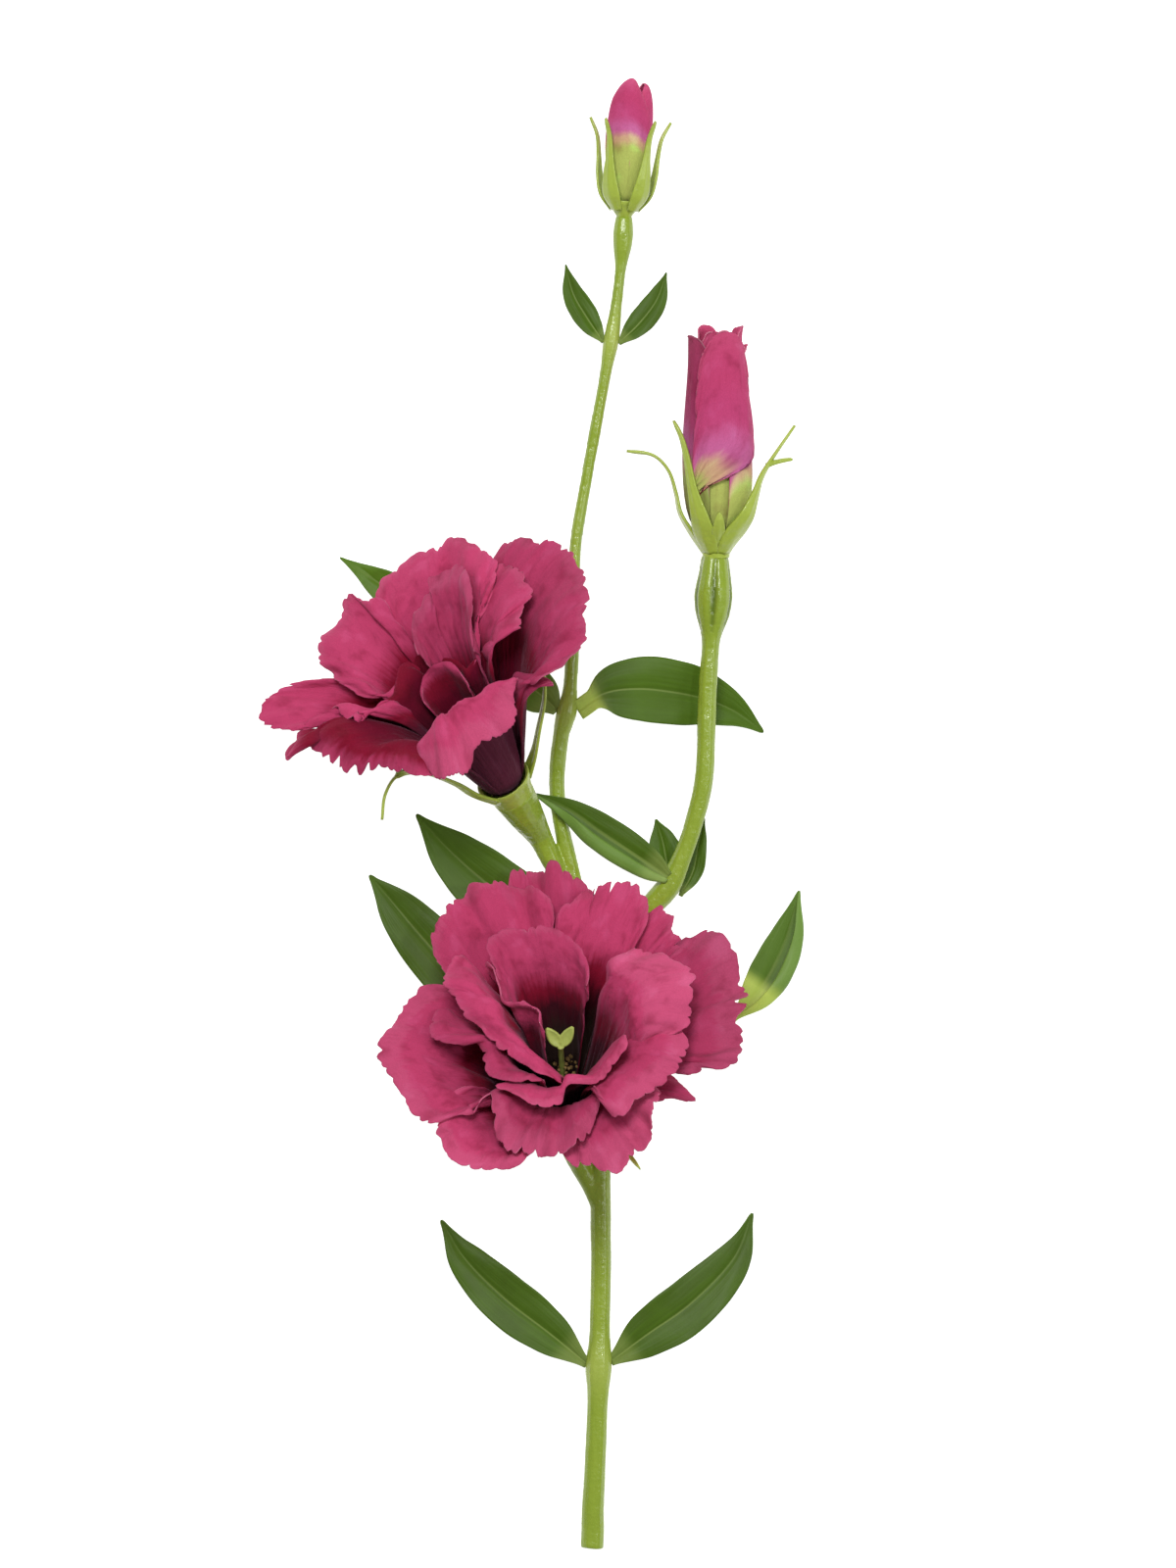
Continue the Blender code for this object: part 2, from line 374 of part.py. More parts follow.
def petal_points(shape, u, v):
    """Points of a petal with its ruffles, which grow towards the rim."""
    step = 1e-3
    points = petal_surface(shape, u, v)
    left, right = np.clip(u - step, -1, 1), np.clip(u + step, -1, 1)
    below, above = np.clip(v - step, 0, 1), np.clip(v + step, 0, 1)
    across = petal_surface(shape, right, v) - petal_surface(shape, left, v)
    along = petal_surface(shape, u, above) - petal_surface(shape, u, below)
    normal = np.cross(across, along)
    normal /= np.linalg.norm(normal, axis=-1, keepdims=True) + 1e-9
    swell = np.clip((v - 0.35) / 0.65, 0, 1) ** 2
    wave = np.sin(math.pi * (shape.get("waves", 2.5) * u + shape.get("phase", 0.0)))
    return points + normal * (shape.get("ruffle", 0.9) * swell * wave)[..., None]


def new_object(name, mesh, collection):
    made = bpy.data.objects.new(name, mesh)
    collection.objects.link(made)
    return made


def mesh_object(name, bm, collection):
    mesh = bpy.data.meshes.new(name)
    bm.to_mesh(mesh)
    bm.free()
    return new_object(name, mesh, collection)


def evaluated_mesh(made):
    bpy.context.view_layer.update()
    graph = bpy.context.evaluated_depsgraph_get()
    return bpy.data.meshes.new_from_object(made.evaluated_get(graph), depsgraph=graph)


def bent_sheet(name, place, across, along, thickness, collection):
    """Grid bent by place(u, v) and thickened evenly, cut into triangles alike on both faces."""
    bm = bmesh.new()
    bmesh.ops.create_grid(bm, x_segments=across, y_segments=along, size=1.0)
    u = np.array([vert.co.x for vert in bm.verts])
    v = np.array([(vert.co.y + 1) / 2 for vert in bm.verts])
    for vert, point in zip(bm.verts, place(u, v)):
        vert.co = point
    bmesh.ops.triangulate(bm, faces=bm.faces[:])
    sheet = mesh_object(name, bm, collection)
    solid = sheet.modifiers.new("Thickness", "SOLIDIFY")
    solid.thickness = thickness
    solid.offset = 0.0
    solid.use_even_offset = False
    return sheet


def cone(name, frame, low, high, low_radius, high_radius, sides, collection):
    """Closed cone frustum round a bloom's axis, from one height to another."""
    base, axes = frame
    bm = bmesh.new()
    bmesh.ops.create_cone(bm, cap_ends=True, segments=sides, radius1=low_radius, radius2=high_radius,
                          depth=high - low)
    for vert in bm.verts:
        vert.co = base + np.array([vert.co.x, vert.co.y, vert.co.z + (low + high) / 2]) @ axes
    return mesh_object(name, bm, collection)


def ball(name, middle, axes, radii, collection, around=6, along=4):
    bm = bmesh.new()
    bmesh.ops.create_uvsphere(bm, u_segments=around, v_segments=along, radius=1.0)
    for vert in bm.verts:
        vert.co = middle + (np.array(vert.co) * radii) @ axes
    return mesh_object(name, bm, collection)


def tube(name, rows, step, bevel, collection):
    """Tube along a smooth path through rows of x, y, z and radius, as a mesh with welded caps."""
    rows = np.asarray(rows, float)
    length = np.linalg.norm(np.diff(rows[:, :3], axis=0), axis=1)
    places = [0.0]
    for index, span in enumerate(length):
        count = max(1, round(span / step))
        places += [index + (k + 1) / count for k in range(count)]
    path = through(rows, np.array(places))
    curve = bpy.data.curves.new(name, "CURVE")
    curve.dimensions = "3D"
    curve.bevel_depth = 1.0
    curve.bevel_resolution = bevel
    curve.use_fill_caps = True
    spline = curve.splines.new("POLY")
    spline.points.add(len(path) - 1)
    for point, (x, y, z, radius) in zip(spline.points, path):
        point.co = (x, y, z, 1.0)
        point.radius = radius
    wire = new_object(name, curve, collection)
    mesh = evaluated_mesh(wire)
    bpy.data.objects.remove(wire)
    bm = bmesh.new()
    bm.from_mesh(mesh)
    bmesh.ops.remove_doubles(bm, verts=bm.verts[:], dist=1e-4)
    bm.to_mesh(mesh)
    bm.free()
    return new_object(name, mesh, collection)


def islands(bm):
    """Groups of faces that hang together over edges of two faces."""
    left = set(bm.faces)
    while left:
        group = [left.pop()]
        for face in group:
            for edge in face.edges:
                for other in edge.link_faces:
                    if other in left and len(edge.link_faces) == 2:
                        left.remove(other)
                        group.append(other)
        yield group


def volume(faces):
    total = 0.0
    for face in faces:
        corners = [vert.co for vert in face.verts]
        for b, c in zip(corners[1:], corners[2:]):
            total += corners[0].dot(b.cross(c)) / 6
    return total


def finished(name, mesh, colour, collection, floor=False):
    """The node: the largest body of a mesh in millimetres, without sealed pockets or scraps."""
    bm = bmesh.new()
    bm.from_mesh(mesh)
    bmesh.ops.remove_doubles(bm, verts=bm.verts[:], dist=WELD)
    bmesh.ops.triangulate(bm, faces=bm.faces[:])
    groups = sorted(islands(bm), key=volume)
    for group in groups[:-1]:
        bmesh.ops.delete(bm, geom=group, context="FACES")
    if floor:
        for vert in bm.verts:
            vert.co.z = max(vert.co.z, 0.0)
    bm.transform(Matrix.Scale(0.001, 4) @ Matrix.Translation(-Vector(ORIGIN)))
    node_mesh = bpy.data.meshes.new(name)
    bm.to_mesh(node_mesh)
    bm.free()
    node_mesh.materials.append(MATERIALS[colour])
    node_mesh.shade_smooth()
    node_mesh.set_sharp_from_angle(angle=math.radians(50))
    return new_object(name, node_mesh, collection)


def fused(name, pieces, colour, floor=False):
    """One body joined from overlapping closed pieces."""
    first, others = pieces[0], pieces[1:]
    for piece in others:
        WORK.objects.unlink(piece)
        JOIN.objects.link(piece)
    join = first.modifiers.new("Join", "BOOLEAN")
    join.operation = "UNION"
    join.operand_type = "COLLECTION"
    join.collection = JOIN
    join.solver = "MANIFOLD"
    mesh = evaluated_mesh(first)
    for piece in pieces:
        bpy.data.objects.remove(piece)
    return finished(name, mesh, colour, PARTS, floor)


def corolla(name, base, look, petals, form, colour, core):
    """Petals of a bloom round a small core that their feet are sunk in."""
    origin, axes = look_frame(base, look)
    low, high, low_radius, high_radius = core
    pieces = [cone(name + "_core", (origin, axes), low, high, low_radius, high_radius, 14, WORK)]
    for number, petal_shape in enumerate(petals):
        shape = {**form, **petal_shape}
        if "rim" in shape:
            shape["ribs"] = ribs_under(shape["rim"], (origin, axes))
        foot = FOOT_RADIUS[shape["layer"]] * shape.get("slim", 1.0)
        shape["foot"] = foot - FOOT_STEP * (5 * number % 11)

        def place(u, v, shape=shape):
            return petal_points(shape, u, v) @ axes + origin

        cells = FOLDED_ACROSS if len(shape["ribs"]) > 8 else PETAL_ACROSS
        across, along = shape.get("across", cells), shape.get("along", PETAL_ALONG)
        pieces.append(bent_sheet(f"{name}_{number}", place, across, along, PETAL_THICKNESS, WORK))
    return fused(name, pieces, colour)


def sepal(name, frame, rows, half_widths):
    """Narrow blade that rises outside a bloom, its face turned to the bloom's axis."""
    origin, axes = frame
    local = []
    for angle, radius, height in rows:
        turn = math.radians(angle)
        local.append((radius * math.cos(turn), radius * math.sin(turn), height))
    local = np.array(local)

    def place(u, v):
        position = v * (len(rows) - 1)
        middle = through(local, position)
        ahead = through(local, position + 0.01) - through(local, position - 0.01)
        ahead /= np.linalg.norm(ahead, axis=-1, keepdims=True)
        outward = middle * np.array([1.0, 1.0, 0.0])
        outward /= np.linalg.norm(outward, axis=-1, keepdims=True)
        across = np.cross(ahead, outward)
        across /= np.linalg.norm(across, axis=-1, keepdims=True)
        lift = np.cross(across, ahead)
        wide = position * (len(half_widths) - 1) / (len(rows) - 1)
        half = through(np.array(half_widths)[:, None], wide)[..., 0]
        radius = np.maximum(np.linalg.norm(middle[:, :2], axis=-1), 3.0)
        bow = (half * u) ** 2 / (2 * radius)
        return (middle + across * (half * u)[:, None] - lift * bow[:, None]) @ axes + origin

    across = 2 if max(half_widths) > 1.8 else 1
    return bent_sheet(name, place, across, SEPAL_ROWS, SEPAL_THICKNESS, WORK)


def calyx(name, base, look, cup, sepals):
    """Cup at the foot of a bloom with its sepals, each a path and its half widths."""
    frame = look_frame(base, look)
    low, high, low_radius, high_radius = cup
    pieces = [cone(name + "_cup", frame, low, high, low_radius, high_radius, 14, WORK)]
    for number, (rows, half_widths) in enumerate(sepals):
        pieces.append(sepal(f"{name}_{number}", frame, rows, half_widths))
    return fused(name, pieces, "calyx")


def ring_of_sepals(angles, profile, half_widths):
    """Alike sepals round a bloom."""
    return [([(angle, radius, height) for radius, height in profile], half_widths) for angle in angles]


def leaf(name, midrib, half_width, roll, stalk):
    """Folded, pointed blade along a midrib."""
    path = np.array([seen(*point) for point in midrib])
    outline = np.array(LEAF_OUTLINES.get(name, LEAF_OUTLINE))

    def place(u, v):
        position = v * (len(path) - 1)
        middle = through(path, position)
        ahead = through(path, position + 0.01) - through(path, position - 0.01)
        ahead /= np.linalg.norm(ahead, axis=-1, keepdims=True)
        across = np.cross(ahead, [0.0, 0.0, 1.0])
        across /= np.linalg.norm(across, axis=-1, keepdims=True)
        lift = np.cross(across, ahead)
        cosine, sine = math.cos(math.radians(roll)), math.sin(math.radians(roll))
        across, lift = across * cosine + lift * sine, lift * cosine - across * sine
        half = half_width * np.interp((v - stalk) / (1 - stalk), outline[:, 0], outline[:, 1])
        rise = half * (LEAF_FOLD * np.abs(u) - 0.35 * LEAF_FOLD * u**2)
        return middle + across * (half * u)[:, None] + lift * rise[:, None]

    sheet = bent_sheet(name + "_sheet", place, 2, LEAF_ROWS, LEAF_THICKNESS, WORK)
    mesh = evaluated_mesh(sheet)
    bpy.data.objects.remove(sheet)
    return finished(name, mesh, "leaf", PARTS, floor=True)


def along_axis(base, look, rows):
    """Rows of height and radius on a bloom's axis as rows of x, y, z and radius."""
    origin, axes = look_frame(base, look)
    return [(*(origin + axes[2] * height), radius) for height, radius in rows]


def stems():
    """Main stem, side stem and the stalks that swell into funnels under the blooms."""
    def plan(rows):
        return [(*seen(across, down, height), radius) for across, down, height, radius in rows]

    paths = [
        plan(MAIN_STEM),
        plan(SIDE_STEM),
        plan(LEFT_STALK) + along_axis(LEFT_BASE, LEFT_LOOK, LEFT_FUNNEL),
        plan(LOWER_STALK) + along_axis(LOWER_BASE, LOWER_LOOK, LOWER_FUNNEL),
    ]
    pieces = [tube(f"stem_{number}", path, STEM_STEP, STEM_BEVEL, WORK) for number, path in enumerate(paths)]
    return fused("stem", pieces, "stem", floor=True)


def pistil(name, base, look, height):
    """Ovary, style and two oval stigma lobes, with anthers round the style."""
    origin, axes = look_frame(base, look)

    def local(x, y, z):
        return origin + np.array([x, y, z]) @ axes

    rows = [(*local(0, 0, 6.35), 1.6), (*local(0, 0, 9.5), 1.75), (*local(0, 0, 13.0), 1.0),
            (*local(0, 0, height * 0.7), 0.65), (*local(0, 0, height), 0.75)]
    pieces = [tube(name + "_style", rows, 5.0, 1, WORK)]
    for number, way in enumerate((-1, 1)):
        reach = np.array([way * LOBE_LEAN[0], LOBE_LEAN[1], LOBE_LEAN[2]])
        reach /= np.linalg.norm(reach)
        across = np.cross(LOBE_FACE, reach)
        across /= np.linalg.norm(across)
        turned = np.array([across, np.cross(reach, across), reach]) @ axes
        middle = local(0, 0, height - 0.2) + reach @ axes * LOBE_RADII[2] * 0.92
        pieces.append(ball(f"{name}_lobe_{number}", middle, turned, LOBE_RADII, WORK))
    for number in range(5):
        turn = math.radians(72 * number + 20)
        middle = local(0.9 * math.cos(turn), 0.9 * math.sin(turn), height * 0.66)
        pieces.append(ball(f"{name}_anther_{number}", middle, axes, (0.6, 0.6, 1.1), WORK, 5, 3))
    return fused(name, pieces, "pistil")


def make_materials():
    made = {}
    for name, (colour, roughness) in COLOURS.items():
        material = bpy.data.materials.new(name)
        material.use_nodes = True
        shader = material.node_tree.nodes["Principled BSDF"]
        shader.inputs["Base Color"].default_value = (*colour, 1.0)
        shader.inputs["Roughness"].default_value = roughness
        shader.inputs["Metallic"].default_value = 0.0
        material.diffuse_color = (*colour, 1.0)
        made[name] = material
    return made


for old in list(bpy.data.objects):
    bpy.data.objects.remove(old, do_unlink=True)

PARTS = bpy.data.collections.new("cut_lisianthus")
WORK = bpy.data.collections.new("work")
JOIN = bpy.data.collections.new("join")
for group in (PARTS, WORK, JOIN):
    bpy.context.scene.collection.children.link(group)
MATERIALS = make_materials()

stems()
for leaf_name, (midrib, half_width, roll, stalk) in LEAVES.items():
    leaf(leaf_name, midrib, half_width, roll, stalk)

calyx("calyx_left", LEFT_BASE, LEFT_LOOK, (-3.3, -0.75, 4.1, 4.6),
      [(LEFT_SEPALS[0], WIDE_SEPAL_HALF_WIDTHS)] + [(rows, SEPAL_HALF_WIDTHS) for rows in LEFT_SEPALS[1:]])
calyx("calyx_lower", LOWER_BASE, LOWER_LOOK, (-3.3, -0.75, 4.0, 4.6),
      ring_of_sepals(LOWER_SEPAL_ANGLES, LOWER_SEPAL_PROFILE, SEPAL_HALF_WIDTHS))
calyx("calyx_bud", BUD_BASE, BUD_LOOK, (-3.0, -0.7, 2.7, 4.0),
      [(rows, BUD_SEPAL_HALF_WIDTHS) for rows in BUD_SEPALS]
      + [(BUD_FORK, BUD_FORK_HALF_WIDTHS), (BUD_BRACT, BUD_BRACT_HALF_WIDTHS)])
calyx("calyx_top", TOP_BASE, TOP_LOOK, (-2.0, -0.6, 1.9, 3.1),
      ring_of_sepals(TOP_SEPAL_ANGLES, TOP_SEPAL_PROFILE, TOP_SEPAL_HALF_WIDTHS))

corolla("corolla_left", LEFT_BASE, LEFT_LOOK, LEFT_PETALS, {}, "corolla", (0.0, 6.0, 4.3, 5.6))
corolla("corolla_lower", LOWER_BASE, LOWER_LOOK, LOWER_PETALS, {}, "corolla", (0.0, 6.0, 4.3, 5.6))
corolla("bud_side", BUD_BASE, BUD_LOOK, BUD_PETALS, BUD_FORM, "bud", (0.0, 4.0, 2.5, 4.4))
corolla("bud_top", TOP_BASE, TOP_LOOK, TOP_PETALS, TOP_FORM, "bud", (0.0, 3.0, 2.5, 3.4))
pistil("pistil_lower", LOWER_BASE, LOWER_LOOK, 27.5)

for work in (WORK, JOIN):
    bpy.data.collections.remove(work)
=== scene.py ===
"""Looks of the cut lisianthus spray: cloth petals, moulded stem, leaves and calyces, light and camera.

Shapes are worked out in millimetres, in the same plan as the frame's solids, and stored in metres.
"""
import math

import bmesh
import bpy
import numpy as np
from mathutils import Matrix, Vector


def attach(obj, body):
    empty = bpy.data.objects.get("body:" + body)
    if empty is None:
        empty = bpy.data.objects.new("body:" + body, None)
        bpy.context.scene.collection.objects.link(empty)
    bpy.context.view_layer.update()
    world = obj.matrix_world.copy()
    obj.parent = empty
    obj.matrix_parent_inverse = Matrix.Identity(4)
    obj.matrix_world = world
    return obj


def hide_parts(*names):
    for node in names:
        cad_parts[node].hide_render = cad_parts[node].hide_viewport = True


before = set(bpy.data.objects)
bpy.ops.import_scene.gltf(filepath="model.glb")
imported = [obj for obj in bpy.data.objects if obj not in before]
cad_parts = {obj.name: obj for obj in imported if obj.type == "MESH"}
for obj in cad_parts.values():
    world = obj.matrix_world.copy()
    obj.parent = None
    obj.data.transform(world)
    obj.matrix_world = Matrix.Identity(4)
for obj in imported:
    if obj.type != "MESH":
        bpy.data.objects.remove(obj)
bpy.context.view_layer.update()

BODY = "root"
MM = 0.001
UP = (0.0, 0.0, 1.0)

# Sheet that the plan positions are counted on, the eye's height over it, and the frame's origin in it
SQUARE = 0.2
SHEET_MIDDLE = (600.0, 800.0)
EYE_HEIGHT = 1500.0
ORIGIN = np.array([-10.333, -6.620, 0.0])

# Petals: foot radius and belly radius of the inner, middle and outer layer, heights of a folded
# petal's profile and width of its sides as parts of the crest and rim, and cells of the mesh
FOOT_RADIUS = (2.2, 3.1, 4.0)
FOOT_HEIGHT = 0.4
FOOT_STEP = 0.045
BELLY_RADIUS = (7.0, 8.4, 9.8)
FOLD_HEIGHTS = (0.3, 0.85)
FOLD_SIDE = 0.95
PETAL_THICKNESS = 0.3
PETAL_ALONG = 26
RIM_CROWDING = 1.5

# What a petal is like where its row says nothing else (lengths in mm). First its cloth: waves across
# it, their height, height of the frills and creases, depth of the dents. Then its profile: height of
# the crest over the rim, the belly's most as part of the rim's radius, height of the neck, place of the
# shoulder. Then its rim: rounding of the corners, width and depth of the scallops, how unevenly it
# wanders, and cuts as place, half width and depth. Then how far up the throat's dark colours reach,
# which are partly the dye and partly painted shade; brightness, set lower on petals that lie in shade,
# so partly painted shade too; size of the foot and cells across.
PETAL_FORM = dict(waves=2.5, ruffle=0.9, frill=0.45, crease=0.10, dent=0.5, arch=2.0, lean=0.8, neck=0.42,
                  flare=0.45, tip=0.16, lobe=3.0, scallop=1.0, uneven=1.0, cuts=(), shade=0.0, tone=1.0,
                  slim=1.0, cells=104)

# Petal edges: how far scallops wander, their sharpness, the small teeth between them, drift of the
# rim, how far it may stand past its row, and how much the sides draw in and fray
SCALLOP_WANDER = 0.9
SCALLOP_SHARPNESS = 1.6
TOOTH_DEPTH = 0.16
TOOTH_WIDTH = 0.31
RIM_DRIFT = 0.45
RIM_SPARE = 0.6
SIDE_LOSS = 0.8
SIDE_FRAY = 0.35

# Shortest and longest wave (mm) of what wanders on a petal: places and depths of the scallops, rim,
# bends of the creases with how far they go, frills, creases, dents, and fraying in parts of its length
SCALLOP_WAVES = (6, 17)
DEPTH_WAVES = (5, 19)
RIM_WAVES = (6, 14)
BEND_WAVES = (14, 30)
CREASE_BEND = 0.6
FRILL_WAVES = (4, 10)
CREASE_WAVES = (2.5, 7)
DENT_WAVES = (8, 20)
FRAY_WAVES = (0.10, 0.25)

# Stems: square across, square down, height above the surface, radius (mm)
MAIN_STEM = [
    (604, 1580, 2.35, 2.4), (605, 1562, 2.35, 2.4), (605, 1540, 3.0, 2.3), (607, 1500, 4.0, 2.2),
    (610, 1430, 4.8, 2.15), (611, 1395, 5.0, 2.7), (612, 1360, 5.0, 2.15), (613, 1300, 5.0, 2.1),
    (613, 1230, 5.0, 2.1), (612, 1150, 5.0, 2.1), (610, 1108, 5.0, 2.7), (607, 1065, 5.0, 2.1),
    (602, 1015, 5.0, 1.95), (596, 960, 5.0, 2.3), (591, 925, 5.0, 1.8), (584, 890, 5.1, 1.6),
    (575, 855, 5.4, 1.6), (568.5, 812, 5.8, 1.6), (569, 780, 6.2, 1.65), (573, 748, 6.6, 1.7),
    (578, 727, 6.9, 2.1), (582, 700, 7.0, 1.45), (585, 650, 7.0, 1.35), (585, 600, 7.0, 1.3),
    (587, 560, 7.0, 1.25), (591, 530, 7.0, 1.2), (600, 480, 7.2, 1.2), (609, 430, 7.6, 1.2),
    (618, 380, 7.9, 1.2), (624, 345, 8.1, 1.6), (629, 310, 8.3, 1.15), (633, 275, 8.5, 1.15),
    (635, 255, 8.6, 1.8), (636, 238, 8.7, 2.1), (637, 220, 8.9, 1.6),
]
SIDE_STEM = [
    (605, 1045, 5.0, 1.6), (622, 1005, 5.0, 1.75), (643, 963, 5.1, 1.8), (662, 928, 5.4, 2.3),
    (682, 905, 5.9, 2.5), (697, 872, 6.9, 1.9), (708, 840, 7.6, 1.9), (717, 803, 8.2, 1.95),
    (720, 765, 8.6, 1.9), (722, 705, 8.9, 1.9), (725, 660, 9.1, 1.8), (726, 645, 9.2, 2.3),
    (727, 628, 9.3, 3.5), (728, 608, 9.4, 4.0), (729, 588, 9.6, 3.4), (730, 567, 9.8, 2.7),
]

# Their mesh (mm): step along the paths, cell of the skin, ridges and fine lines round a stem with their
# heights, waves and twist, height and waves of lumps, and how near the cut end these begin
STEM_STEP = 2.0
STEM_VOXEL = 0.32
STEM_SMOOTHING = 9
STEM_RIDGES = 7
STEM_RIDGE = 0.035
RIDGE_WAVES = (30, 90)
STEM_LINES = 16
STEM_LINE = 0.02
LINE_TWIST = 17
STEM_LUMP = 0.05
LUMP_WAVES = (5, 14)
CUT_END = 1.5

# The ribbed swelling on the side stem, and the joints, thicker than the stem and paler around
SIDE_RADIUS = 2.3
SWELLING_RADIUS = 4.0
SWELLING_RIBS = 5
RIB_FURROW = 0.5
JOINT_SWELL = 1.18
JOINT_REACH = 5.0

# Blooms and buds: where the petals start, the way the throat looks, the stalk and its funnel
LEFT_BASE = (515.5, 798, 18.6)
LEFT_LOOK = (122.0, 40.0)
LEFT_STALK = [(588, 928, 5.0, 1.5), (575, 901, 5.3, 1.75), (562, 877, 6.4, 2.1)]
LEFT_FUNNEL = [(-17.0, 2.5), (-10.0, 3.7), (-3.6, 4.5)]
LOWER_BASE = (576.5, 1138.5, 13.0)
LOWER_LOOK = (93.0, 57.0)
LOWER_STALK = [(613, 1235, 5.0, 1.7), (603, 1210, 5.2, 1.8), (589, 1184, 6.0, 2.1)]
LOWER_FUNNEL = [(-6.0, 2.9), (-3.6, 3.9)]
BUD_BASE = (731.0, 549.0, 10.2)
BUD_LOOK = (89.4, 6.0)
TOP_BASE = (637.6, 208.0, 9.2)
TOP_LOOK = (86.0, 5.0)


def petal(layer, ribs, **shape):
    """A petal: its rim as rows of angle about the throat (degrees), radius and height (mm)."""
    return dict(shape, layer=layer, ribs=ribs)


def seen_petal(layer, rim, **shape):
    """A petal: its rim as rows of square across, square down, and height out along the bloom (mm)."""
    return dict(shape, layer=layer, rim=rim)


